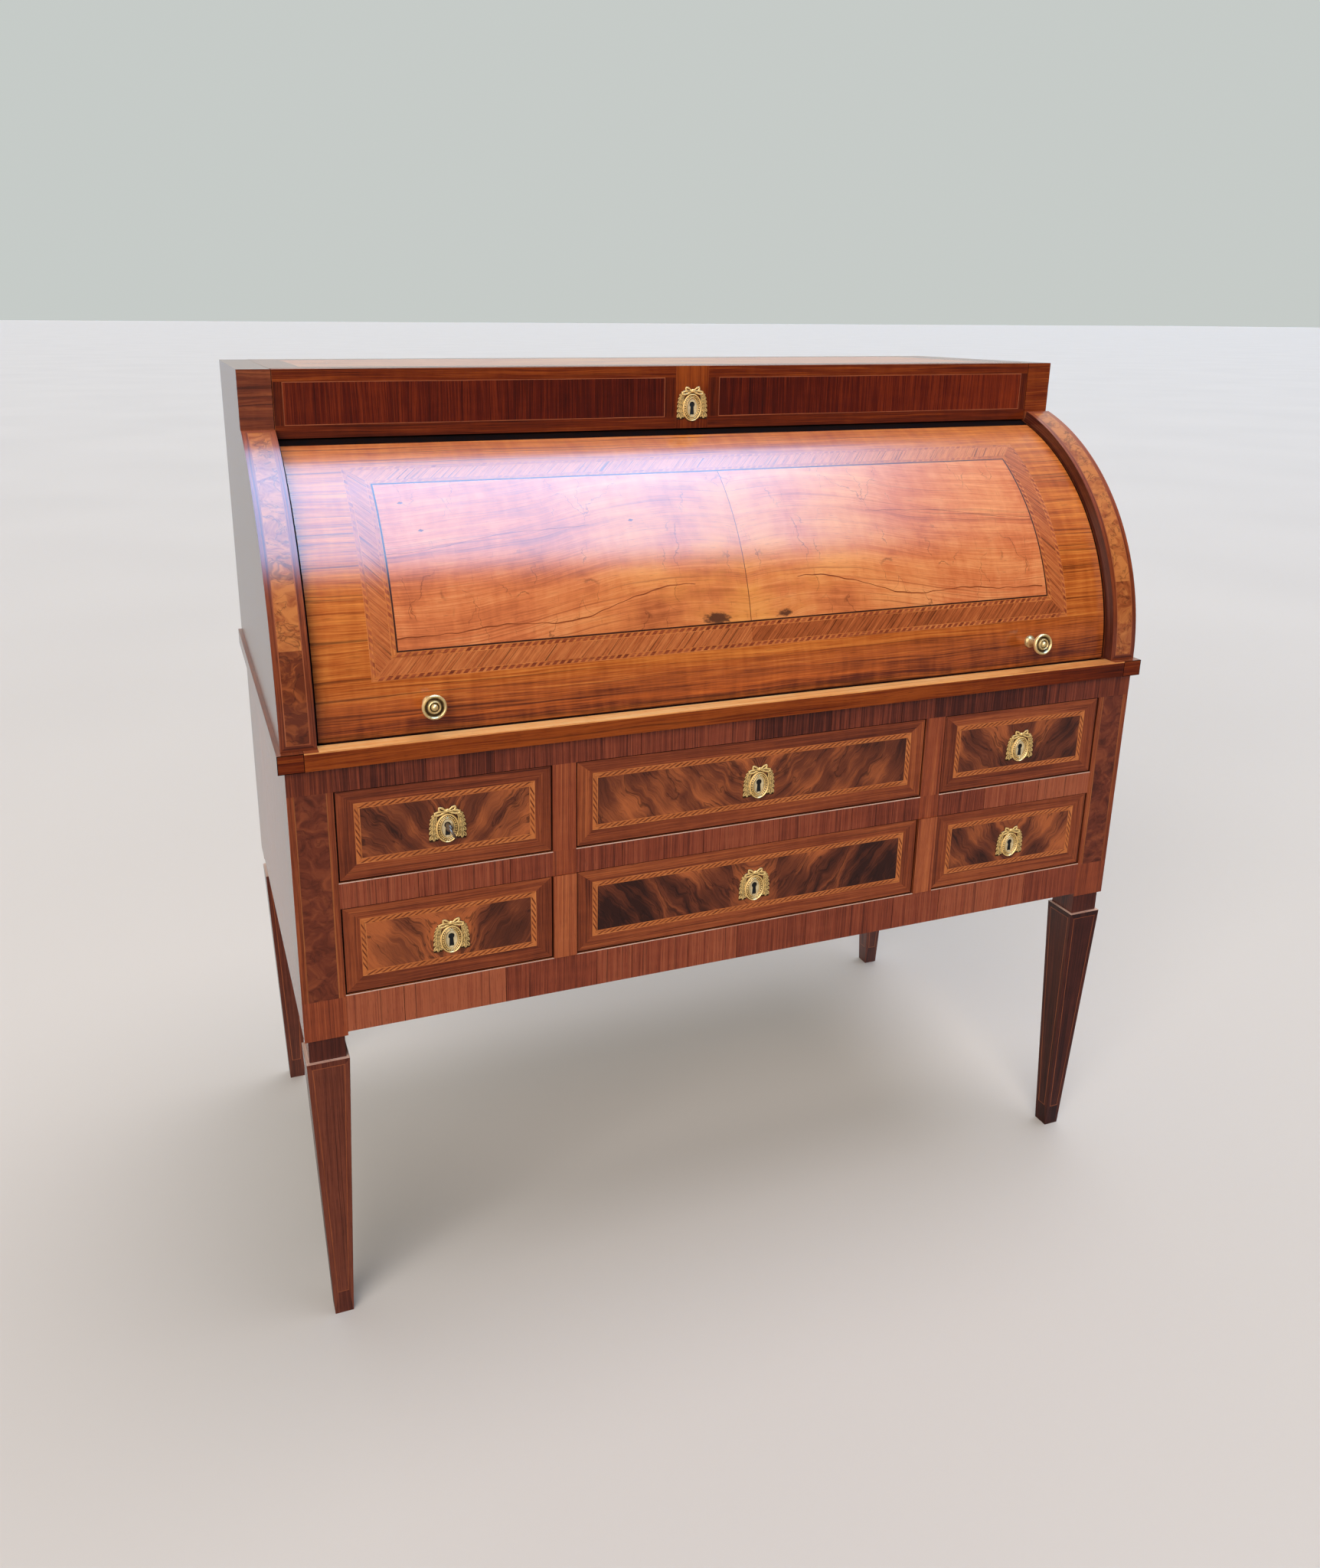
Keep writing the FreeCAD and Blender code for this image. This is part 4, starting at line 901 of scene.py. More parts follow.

# %% [markdown]
# ## Rails and dividers
#
# The rails between the drawers are crossbanded. The dividers are plain, and the upper ones read as if they
# ran down through the middle rail, which is therefore laid in three runs. The top arris of the two lower
# rails has lost its colour to passing sleeves and drawers, and the narrow pale strip along it is that wear
# and a painted highlight, the light from above on the rounded arris. The top rail is painted darker, for the
# shade under the slide.

# %% Rails and dividers
POST_IN = span("front_top_rail")[1][0]
DIVIDER_IN, DIVIDER_OUT, ARRIS, UPPER_DIVIDER_BACK = 249.5, 279.5, 1.2, 2.0
DIVIDERS = ([-DIVIDER_OUT, DIVIDER_IN], [-DIVIDER_IN, DIVIDER_OUT])
SPLIT_RUNS = [(-POST_IN, -DIVIDER_OUT), (-DIVIDER_IN, DIVIDER_IN), (DIVIDER_OUT, POST_IN)]
parts = []
# The top rail's low lift paints it darker, for the shade under the slide.
for number, (rail, mean, lift) in enumerate((("front_top_rail", 85, -0.5), ("front_middle_rail", 100, 0.6),
                                             ("front_bottom_rail", 95, 0.6))):
    face, (_, _, bottom, top) = front_of(rail)
    if rail == "front_middle_rail":
        parts.append(lay(face, rects(*DIVIDERS, bottom, top), "divider_walnut", UPRIGHT, -0.2, seed=70))
    for k, run in enumerate(SPLIT_RUNS if rail == "front_middle_rail" else [(-POST_IN, POST_IN)]):
        parts += crossband(face, (*run, bottom, top - ARRIS), mean, 80 + 7 * number + k, lift)
        # The pale arris strip: wear, and a painted highlight of the light from above.
        if rail != "front_top_rail":
            parts.append(lay(face, rects(*run, top - ARRIS, top), "worn_edge"))
divider_y = span("drawer_dividers")[0][1]
for bottom, top, back, tone in ((616.5, 729.5, UPPER_DIVIDER_BACK, 0.2), (470.5, 583.5, 0.0, 1.2)):
    stiles = rects(*DIVIDERS, bottom, top)
    parts.append(lay(front(divider_y + back), stiles, "divider_walnut", UPRIGHT, tone, seed=71))
piece("front_frame_veneer", parts, "carcass")

# %% [markdown]
# ## Posts and legs
#
# Each post has a dark block on top, a long burr panel between two light lines, and a plain block at its foot.
# Below a drawn-in neck the leg tapers, and its faces carry a dark field in a light line that narrows with it.
# The four faces of a leg are the same sheet turned by quarters, so a face is a function of its plane, and a
# leaning plane gives the taper. Only the two outer faces of a post are veneered.

# %% Faces of posts and legs
LEG_TOP, POST_BOTTOM, POST_TOP, HALF_POST, HALF_FOOT = 385.0, 416.0, 760.0, 25.5, 11.5
PANEL_LOW, PANEL_HIGH, POST_INSET, POST_LINE = 468.0, 729.5, 7.0, 1.1
LEG_INSET, LEG_LINE, LINE_FOOT, LINE_HEAD = 5.6, 1.0, 34.0, LEG_TOP - 7.5
SOLE_GAP, LEDGE_GAP, NECK_GAP = 0.4, 0.2, 0.3
TAPER = (HALF_POST - HALF_FOOT) / LEG_TOP


def turned_plane(middle, quarter, half, drop=0.0):
    """One of the four faces of an upright post, turned by quarters about its middle; drop leans it in."""
    c, s = round(math.cos(quarter * UPRIGHT)), round(math.sin(quarter * UPRIGHT))
    face_out = np.array([s, -c, 0.0])
    foot = np.array(middle) + face_out[:2] * half
    return plane((*foot, 0), (c, s, 0), np.array([0, 0, 1.0]) + face_out * drop)


def post_face(face, seed):
    """Veneer of one face of a post: top block, lined burr panel, bottom block."""
    marks = HALF_POST - np.array([0.0, POST_INSET, POST_INSET + POST_LINE])
    strips, lines = (rects([-far, near], [-near, far], PANEL_LOW, PANEL_HIGH)
                     for far, near in zip(marks, marks[1:]))
    blocks = rects(-HALF_POST, HALF_POST, [PANEL_HIGH, POST_BOTTOM], [POST_TOP, PANEL_LOW])
    return [lay(face, strips, "border_walnut", UPRIGHT, 0.1, seed=seed),
            lay(face, lines, "boxwood", UPRIGHT, -1.6, seed=seed),
            lay(face, rects(-marks[2], marks[2], PANEL_LOW, PANEL_HIGH), "burr_walnut", UPRIGHT, seed=seed),
            lay(face, blocks, "divider_walnut", UPRIGHT, [-1.6, -0.4], seed=seed + 1)]


def leg_face(face, seed, tone):
    """Veneer of one face of the tapered leg, whose half width at height z is HALF_FOOT + TAPER z."""
    def outline(inset, bottom, top):
        a, b = (HALF_FOOT + TAPER * z - inset for z in (bottom, top))
        return np.array([(-a, bottom), (a, bottom), (b, top), (-b, top)])
    edge = outline(0.0, SOLE_GAP, LEG_TOP - LEDGE_GAP)
    far = outline(LEG_INSET, LINE_FOOT, LINE_HEAD)
    near = outline(LEG_INSET + LEG_LINE, LINE_FOOT + LEG_LINE, LINE_HEAD - LEG_LINE)
    rim_tone = tone + np.array([-0.3, 0.4, -0.3, 0.4])
    return [lay(face, strips_between(far, near), "amber_line", FRAME_GRAIN, -0.8, seed=seed),
            lay(face, near[None], "plum_walnut", UPRIGHT, tone + 0.2, seed=seed),
            lay(face, strips_between(edge, far), "plum_walnut", UPRIGHT, rim_tone, seed=seed + 2)]


print("a leg narrows by", round(TAPER * 1000, 1), "mm a metre on each side")

# %% [markdown]
# ## Four legs
#
# The legs are dressed in one loop. The front left one is painted lighter than the others and the front right
# one darker, for the light that falls more on the left. The ledge above the taper is worn pale and painted
# paler still as a highlight from above, and the neck is plain dark wood.

# %% Legs
NECK_HALF, LEDGE = HALF_POST - 4.0, 3.9
# Leg tones: the front left is painted lighter and the front right darker, for how the light falls on them.
for number, (leg, tone) in enumerate((("front_left", 0.9), ("front_right", -1.0), ("back_left", 0.0),
                                      ("back_right", 0.0))):
    low, high = span(f"{leg}_leg")
    middle = (low[:2] + high[:2]) / 2
    # The ledge strip is worn pale and painted paler still, a highlight from above.
    ledge = mitred((-HALF_POST, HALF_POST) * 2, (LEDGE - HALF_POST, HALF_POST - LEDGE) * 2)
    neck = rects(-NECK_HALF, NECK_HALF, LEG_TOP + NECK_GAP, POST_BOTTOM)
    parts = [lay(tabletop(LEG_TOP, middle), ledge, "worn_edge", FRAME_GRAIN, -0.3)]
    for quarter in range(4):
        parts += leg_face(turned_plane(middle, quarter, HALF_FOOT, TAPER), 100 + 10 * number + quarter, tone)
        parts.append(lay(turned_plane(middle, quarter, NECK_HALF), neck, "plum_walnut", UPRIGHT, -0.2,
                         seed=190 + quarter))
    for quarter in (0 if leg.startswith("front") else 2, 3 if leg.endswith("left") else 1):
        parts += post_face(turned_plane(middle, quarter, HALF_POST), 150 + 10 * number + quarter)
    piece(f"{leg}_leg_veneer", parts, "carcass")

# %% [markdown]
# ## Quarter-round sides
#
# The front edges of the upper sides are quarter-rounds that carry burr between light lines, bent to the curve
# by the same barrel function as the cylinder, only with their own radius. Their inner cheeks show as a dark
# ring beside the cylinder. The square blocks above them, left and right of the frieze, have bold level grain.

# %% Upper sides
low, high = span("upper_right_side")
SIDE_IN, SIDE_OUT, DESK_TOP = low[0], high[0], high[2]
ROUND, BLOCK_LOW = PIVOT_Y - low[1], 1112.0
EDGE_STRIP, EDGE_LINE, BURR_CUT, BURR_JOINT, EASE, RING_IN, RING_OUT = 6.5, 1.1, 112.0, 0.1, 0.3, 0.4, 0.2
# The border strips are painted darker at the foot and lighter at the head, for the shade and light on the curve.
FOOT, HEAD = -1.1, 0.5
EDGE_TONE = [(FOOT,) * 4, (FOOT, HEAD, HEAD, FOOT), (HEAD,) * 4, (HEAD, FOOT, FOOT, HEAD)]
rounded, frieze_front = barrel(ROUND), front(span("frieze_drawer_front")[0][1])
top_arc = ROUND * math.asin((BLOCK_LOW - PIVOT_Z) / ROUND)


def cheek(side):
    """A side's inner face in rings: with r = side a and t = b / ROUND, P = pivot + r (-cos t, sin t)."""
    def surface(a, b):
        t, r = b / ROUND, side * a
        y, z = PIVOT_Y - r * np.cos(t), PIVOT_Z + r * np.sin(t)
        place = np.stack([np.full_like(a, side * SIDE_IN), y, z], -1)
        return place, np.broadcast_to([-side, 0.0, 0.0], place.shape)
    return surface


for (side, name), burr_tone, block_wood, block_tone in zip(SIDES, ([-1.2, 0.9], [0.4, 1.2]),
                                                           ("block_walnut", "frieze_walnut"), (0.0, 0.6)):
    a0, a1 = sorted((side * SIDE_IN, side * SIDE_OUT))
    strip = (a0, a1, EASE, top_arc - EASE)
    lined = shrunk(strip, EDGE_STRIP)
    panel = shrunk(lined, EDGE_LINE)
    cuts = np.array([panel[2], BURR_CUT, panel[3]])
    burrs = rects(panel[0], panel[1], cuts[:-1] + BURR_JOINT, cuts[1:] - BURR_JOINT)
    ring = rects(*sorted((side * (SHELL + RING_IN), side * (ROUND - RING_OUT))), EASE, top_arc - EASE)
    parts = [lay(rounded, mitred(strip, lined), "border_walnut", FRAME_GRAIN, EDGE_TONE, BEND, seed=210),
             string_line(rounded, lined, EDGE_LINE, BEND, "amber_line"),
             lay(rounded, burrs, "golden_burr", UPRIGHT, burr_tone, ARC, seed=200 + side),
             lay(cheek(side), ring, "plum_walnut", UPRIGHT, -0.3, ARC, seed=215),
             lay(frieze_front, rects(a0, a1, BLOCK_LOW, DESK_TOP), block_wood, LEVEL, block_tone,
                 seed=220 + side)]
    piece(f"upper_{name}_side_veneer", parts, "carcass")

# %% [markdown]
# ## Lower sides and top
#
# The flat sides below the waist and the top are seen mostly by their polish, so they get quiet sheets: a
# crossbanded border, a light line, and inside it four upright leaves at the sides and a matched pair on the
# top. Their layout is a guess from desks of this kind.

# %% Lower sides and top
for side, name in SIDES:
    low, high = span(f"lower_{name}_side")
    flank = plane((high[0] if side > 0 else low[0], 0, 0), (0, side, 0), (0, 0, 1))
    whole = (*sorted((side * low[1], side * high[1])), low[2], high[2])
    parts, panel = framed(flank, whole, border=26.0, line=1.2, seed=240)
    cuts = np.linspace(panel[0], panel[1], 5)
    leaves = rects(cuts[:-1], cuts[1:], panel[2], panel[3])
    parts.append(lay(flank, leaves, "divider_walnut", UPRIGHT, [-0.3, 0.0, 0.0, -0.3], seed=245))
    piece(f"lower_{name}_side_veneer", parts, "carcass")


def matched_pair(surface, panel, start):
    """Two leaves of the field's sheet, opened from the middle and read from a place of their own."""
    halves = rects([panel[0], 0], [0, panel[1]], panel[2], panel[3])
    return lay(surface, halves, "field_walnut", book=(0.0, panel[2], *start))


low, high = span("top_board")
lid = tabletop(high[2])
parts, panel = framed(lid, (low[0], high[0], low[1], high[1]), border=40.0, line=1.5, seed=250)
piece("top_veneer", parts + [matched_pair(lid, panel, (60.0, 0.0))], "carcass")

# %% [markdown]
# ## Back boards
#
# The back stands to the wall, so the maker used plain upright oak boards there, each from another tree, with
# dark joints between them. They are tiles like the rest, only wider.

# %% Back boards
BOARD, JOINT_HALF, JOINT_PROUD = 148.0, 0.5, 0.1
parts = []
for name, seed in (("upper_back_panel", 270), ("lower_back_panel", 280)):
    low, high = span(name)
    rear = plane((0, high[1], 0), (-1, 0, 0), (0, 0, 1))
    count = int(round((high[0] - low[0]) / BOARD))
    cuts = np.linspace(low[0], high[0], count + 1)
    bottom, top = low[2] + EASE, high[2] - EASE
    boards = rects(cuts[:-1] + JOINT_HALF, cuts[1:] - JOINT_HALF, bottom, top)
    joints = rects(cuts[1:-1] - JOINT_HALF, cuts[1:-1] + JOINT_HALF, bottom, top)
    tone = np.random.default_rng(seed).uniform(-1, 1, count)
    parts += [lay(rear, joints, "edge_dirt", proud=JOINT_PROUD),
              lay(rear, boards, "back_oak", UPRIGHT, tone, seed=seed)]
piece("back_boards", parts, "carcass")

# %% [markdown]
# ## The writing slide
#
# The slide's front edge is the middle of the waist moulding. Hands and sleeves have worn its upper lip to
# bare pale wood, most of all in the middle, so the lip and the front are three tiles each whose corners hand
# the tone on. The lip's paleness, and a thin strip on the front's top arris, are that wear and also a
# painted highlight of the light from above. Behind the lip a dark strip is painted shade, the shade under
# the cylinder. The table itself shows when the slide is out: a border, a line and a matched pair.

# %% Writing slide
LIP, LIP_SHADE, LIP_HALF, LIP_PROUD, SHADE_PROUD = 21.0, 27.0, 552.0, 0.12, 0.1
WORN_FROM, WORN_TO, LIT_WORN_ARRIS, ALONG = -190, 240, 1.6, (12, 1)
SHADE_HALF, TABLE_HALF, TABLE_GAP = 543, 541.0, 1.0
LIP_TONE = [(0.3, 0.6, 0.7, 0.4), (0.6, 0.4, 0.5, 0.7), (0.4, -0.7, -0.3, 0.5)]
FRONT_TONE = [(1.3, 1.6, 1.2, 0.6), (1.6, 1.0, 0.8, 1.2), (1.0, -0.8, -0.2, 0.8)]
low, high = span("slide_front_edge")
SLIDE_END, lip_back, shade_back = high[0], low[1] + LIP, low[1] + LIP_SHADE
lip = tabletop(high[2])
# Pale lip tiles: wear and a painted highlight; behind them a strip of painted shade under the cylinder.
worn = rects([-LIP_HALF, WORN_FROM, WORN_TO], [WORN_FROM, WORN_TO, LIP_HALF], low[1], lip_back)
ends = rects([low[0], LIP_HALF], [-LIP_HALF, high[0]], low[1], lip_back)
piece("slide_lip_veneer", [
    lay(lip, worn, "worn_walnut", LEVEL, LIP_TONE, ALONG, LIP_PROUD, (low[0], 0.0)),
    lay(lip, ends, "border_walnut", LEVEL, 0.4, proud=LIP_PROUD),
    lay(lip, rects(-SHADE_HALF, SHADE_HALF, lip_back, shade_back), "edge_dirt", proud=SHADE_PROUD)], "slide")
table = (-TABLE_HALF, TABLE_HALF, shade_back, span("writing_slide")[1][1] - TABLE_GAP)
parts, panel = framed(lip, table, border=34.0, line=1.4, seed=262, tone=0.2)
piece("slide_table_veneer", parts + [matched_pair(lip, panel, (90.0, 30.0))], "slide")
face = front(low[1])
thirds = rects([low[0], WORN_FROM, WORN_TO], [WORN_FROM, WORN_TO, high[0]], low[2], high[2] - LIT_WORN_ARRIS)
# A pale strip on the front's top arris: wear and a painted highlight.
rubbed_lit_arris = rects(low[0], high[0], high[2] - LIT_WORN_ARRIS, high[2])
piece("slide_edge_veneer", [
    lay(face, thirds, "frieze_walnut", LEVEL, FRONT_TONE, ALONG, book=(low[0], 0.0, 310.0, 40.0)),
    lay(face, rubbed_lit_arris, "worn_walnut", LEVEL, -0.4, seed=261)], "slide")

# %% [markdown]
# ## Corner blocks of the waist
#
# The moulding turns the corner in a square block beside each end of the slide. The block has its own small
# sheet, with a thin dark line round it where it meets the slide and the moulding.

# %% Corner blocks
BLOCK_DARK_LINE = 0.8
for side, name in SIDES:
    low, high = span(f"{name}_waist_moulding")
    whole = (*sorted((side * SLIDE_END, side * max(-low[0], high[0]))), low[2], high[2])
    # A thin dark line in the dull dark finish round the block, where it meets the slide and the moulding.
    lined = shrunk(whole, BLOCK_DARK_LINE)
    face = front(low[1])
    piece(f"{name}_corner_block_veneer", [
        lay(face, mitred(whole, lined), "edge_dirt"),
        lay(face, rects(*lined), "frieze_walnut", LEVEL, 0.1, seed=290 + side)], "carcass")

# %% [markdown]
# ## Turned and cast metal
#
# A knob is a profile spun round its axis. The escutcheons are castings: an oval plate with raised rings and
# a row of beads, a ribbon bow above it, and a laurel festoon hanging down each side. All are grids closed
# around one way, and either capped or joined at the ends. Whichever way a grid was drawn, its faces end up
# outwards.

# %% Closed rings


def rings(points, finish, relief, joined=False):
    """Shapes from points[shape, ring, around, xyz]: closed around, capped with a fan or joined end to end.

    The faces are turned round where the volume, the sum of p . (q x r) over their triangles, is below nought.
    """
    count, deep, around, _ = points.shape
    number = np.arange(deep * around).reshape(deep, around)
    closed = np.concatenate([number, number[:1]]) if joined else number
    beside = np.roll(closed, -1, 1)
    quads = np.stack([closed[:-1], beside[:-1], beside[1:], closed[1:]], -1).reshape(-1, 4)
    fans = np.zeros((0, 3), int)
    verts = points.reshape(count, -1, 3)
    relief = np.broadcast_to(relief, points.shape[:3]).reshape(count, -1)
    if not joined:
        verts = np.concatenate([verts, points[:, :1].mean(2), points[:, -1:].mean(2)], 1)
        relief = np.concatenate([relief, relief[:, :1], relief[:, -1:]], 1)
        pole = np.full(around, number.size)
        fans = np.concatenate([np.stack([pole, np.roll(number[0], -1), number[0]], -1),
                               np.stack([pole + 1, number[-1], np.roll(number[-1], -1)], -1)])
    shape_start = (np.arange(count) * verts.shape[1])[:, None, None]
    quads, fans = (quads + shape_start).reshape(-1, 4), (fans + shape_start).reshape(-1, 3)
    verts = verts.reshape(-1, 3)
    p, q, r = verts[np.concatenate([quads[:, :3], quads[:, [0, 2, 3]], fans])].transpose(1, 0, 2)
    if (p * np.cross(q, r)).sum() < 0:
        quads, fans = quads[:, ::-1], fans[:, ::-1]
    return {"verts": verts, "faces": [quads, fans], "uv": verts[:, [0, 2]], "tone": np.zeros(len(verts)),
            "relief": relief.reshape(-1), "finish": np.repeat([finish], len(quads) + len(fans))}


def around_once(count):
    """Angles that go round once in even steps."""
    return np.linspace(0, 2 * math.pi, count, endpoint=False)


def spun(profile, around=48):
    """A profile of (radius, height) spun about the height: P = (r cos t, r sin t, h)."""
    radius, height = np.array(profile, float).T[..., None]
    t = around_once(around)
    return np.stack([radius * np.cos(t), radius * np.sin(t), height + 0 * t], -1)


def tube(path, wide, thick, around=10):
    """A flattened cord along path[step, xyz] in an upright plane: wide beside the path and thick outwards."""
    ahead = np.gradient(path, axis=0)
    ahead /= np.linalg.norm(ahead, axis=-1, keepdims=True)
    beside = np.stack([ahead[:, 2], 0 * ahead[:, 0], -ahead[:, 0]], -1)[:, None]
    t = around_once(around)[:, None]
    wide = np.broadcast_to(wide, len(path))[:, None, None]
    return path[:, None] + beside * np.cos(t) * wide + np.array([0, -thick, 0]) * np.sin(t)


def looped(path, wide, thick):
    """The same along a closed path; two points beyond each end keep the cord even where it closes."""
    return tube(np.concatenate([path[-2:], path, path[:2]]), wide, thick)[2:-2]


print("a spun profile of 4 points has", spun([(0, 0), (1, 0), (1, 1), (0, 1)]).shape, "coordinates")

# %% [markdown]
# ## Knobs
#
# Each knob was turned on a lathe: a foot, a thin stem, and a broad head with two rings and a button. Its
# profile is a row of radii and heights, and beside it stands how polished each ring of points is. The axis
# leans back a little, because the knob stands square to the cylinder where it is fixed.

# %% Knobs
KNOB = [(8.4, -0.6), (8.6, 1.2), (8.2, 2.6), (6.4, 3.6), (5.4, 5.2), (4.9, 8), (4.7, 14), (5.0, 19),
        (6.2, 21.5), (10.5, 23.4), (13.6, 25.2), (14.4, 26.6), (14.5, 28.2), (14.2, 29.6), (13.4, 30.4),
        (12.4, 30.5), (11.5, 29.9), (10.6, 28.6), (9.6, 27.7), (8.6, 27.9), (7.9, 29.2), (7.2, 30.6),
        (6.4, 31.0), (5.7, 30.2), (5.2, 28.9), (4.5, 28.7), (4.0, 29.8), (3.3, 31.4), (2.2, 32.6),
        (0.9, 33.0)]
KNOB_RELIEF = np.array([0.4] * 4 + [0.5] * 5 + [0.6, 0.9, 1.0, 1.0, 1.0, 1.0, 0.9, 0.5, 0.15, 0.05, 0.1, 0.5,
                                               0.95, 1.0, 0.6, 0.1, 0.1, 0.6, 0.9, 1.0, 1.0])
tilt = math.radians(6.1)
knob_axes = np.array([(1, 0, 0), (0, math.sin(tilt), math.cos(tilt)), (0, -math.cos(tilt), math.sin(tilt))])
for side, name in SIDES:
    low, high = span(f"{name}_cylinder_knob")
    seat = np.array([(low[0] + high[0]) / 2, PIVOT_Y, PIVOT_Z]) + knob_axes[2] * SHELL
    turned = rings((seat + spun(KNOB) @ knob_axes)[None], "worn_brass", KNOB_RELIEF[None, :, None])
    piece(f"{name}_knob", [turned], "cylinder", [f"{name}_cylinder_knob"])

# %% [markdown]
# ## Escutcheon: the oval plate
#
# The plate is one ring of points carried outwards from the keyhole's edge over ellipses of different heights
# and back underneath, so it closes without a seam. The keyhole's edge comes from how far a line from the
# oval's middle runs before it meets the slot's wall or the eye's circle. The beads are a ripple in height
# along one of the rings.

# %% Oval plate
EYE_RADIUS, SLOT_HALF, SLOT_FLARE, SLOT_LOW, OVAL_DROP = 3.9, 2.2, 0.07, -13.4, -4.0
PLATE_INNER, RIM_SHARES, BEADS = np.array([6.7, 11.4]), np.array([0.94, 0.88]), 30
# The last steps are a low flange with no relief, a dark rim round the plate: patina and dirt, and a painted
# shadow.
RIM_STEPS = [(0.0, 1.0, 0.55), (0.4, 1.15, 0.1), (0.9, 1.35, 0.2), (1.3, 2.0, 0.8), (1.9, 2.2, 1.0),
             (2.4, 1.7, 0.3), (2.9, 1.4, 0.1), (3.4, 1.9, 0.5), (4.0, 2.3, 0.9), (4.6, 1.9, 0.5),
             (5.1, 1.3, 0.1), (5.5, 1.6, 0.3), (6.0, 2.5, 0.9), (6.6, 2.9, 1.0), (7.2, 2.6, 1.0),
             (7.7, 1.6, 0.7), (7.9, 0.5, 0.1), (8.7, 0.3, 0.0), (8.8, 0.0, 0.0)]


def keyhole_reach(t):
    """How far the keyhole's edge is from the oval's middle: the farther of slot wall and eye circle."""
    across, up = np.cos(t), np.sin(t)
    side_wall = (SLOT_HALF - SLOT_FLARE * OVAL_DROP) / np.maximum(np.abs(across) + SLOT_FLARE * up, 1e-6)
    end_wall = np.where(up < 0, SLOT_LOW - OVAL_DROP, -OVAL_DROP) / np.where(np.abs(up) < 1e-6, 1e-6, up)
    along = -up * OVAL_DROP
    gap = EYE_RADIUS ** 2 - OVAL_DROP ** 2 + along ** 2
    eye_reach = np.where((gap > 0) & (up > 0), along + np.sqrt(np.maximum(gap, 0)), 0.0)
    return np.maximum(np.minimum(side_wall, np.abs(end_wall)), eye_reach)


def oval_plate():
    """Two rings round the keyhole, then P = (cos t, sin t) (inner + out shares) at a height; and relief."""
    t = around_once(120)
    beads = 0.5 + 0.5 * np.cos(BEADS * t)
    ray = np.stack([np.cos(t), np.sin(t)], -1)
    hole = ray * keyhole_reach(t)[:, None]
    out, height, worn = np.array(RIM_STEPS).T[..., None]
    beaded = (out > 3.2) & (out < 4.8)
    flat = np.concatenate([[hole, hole], ray * (PLATE_INNER + out[..., None] * RIM_SHARES)])
    height = np.concatenate([[0 * t, 0 * t + 1.0], height + beaded * (0.7 * beads - 0.4)])
    relief = np.concatenate([[0 * t + 0.1, 0 * t + 0.6], np.clip(worn + beaded * (1.2 * beads - 0.7), 0, 1)])
    return np.stack([flat[..., 0], -height, flat[..., 1] + OVAL_DROP], -1), relief


plate, plate_relief = oval_plate()
print("plate of", len(plate), "rings, reach", np.round(plate.max((0, 1)), 1))

# %% [markdown]
# ## Escutcheon: bow and festoons
#
# A festoon is three laurel leaves in each row down a curve, on a dark ground widened so that its edge shows
# round the leaves as patina and dirt and as a painted shadow. A leaf is a pointed drop with a groove along it;
# since there are hundreds on the desk, each has only a few dozen faces, and its relief does the rest: it is
# painted bright along its two ribs and towards its tip, a painted highlight. The bow's ribbon is a flattened
# cord along drop-shaped loops, with a bead for the knot.

# %% Bow and festoons
LEAF_ROWS, LEAF_LONG, LEAF_WIDE, LEAF_THICK, LEAF_BASE, GROOVE = 7, 3.9, 2.05, 1.1, 0.9, 0.6
LOOPS = (((1.0, 17.4), (10.0, 21.2), 2.9), ((2.5, 16.6), (15.2, 15.0), 2.5))
RIBBON_WIDE, RIBBON_WAVE, RIBBON_THICK = 1.35, 0.25, 1.2
CORD_RELIEF = np.clip(1.25 * np.sin(around_once(10)) - 0.2, 0, 1)


def bezier(p0, p1, p2, p3, t):
    """Cubic curve (1-t)^3 p0 + 3(1-t)^2 t p1 + 3(1-t) t^2 p2 + t^3 p3, each point (across, up)."""
    p0, p1, p2, p3 = (np.array(p, float) for p in (p0, p1, p2, p3))
    t = np.asarray(t)[..., None]
    return (1 - t) ** 3 * p0 + 3 * (1 - t) ** 2 * t * p1 + 3 * (1 - t) * t ** 2 * p2 + t ** 3 * p3


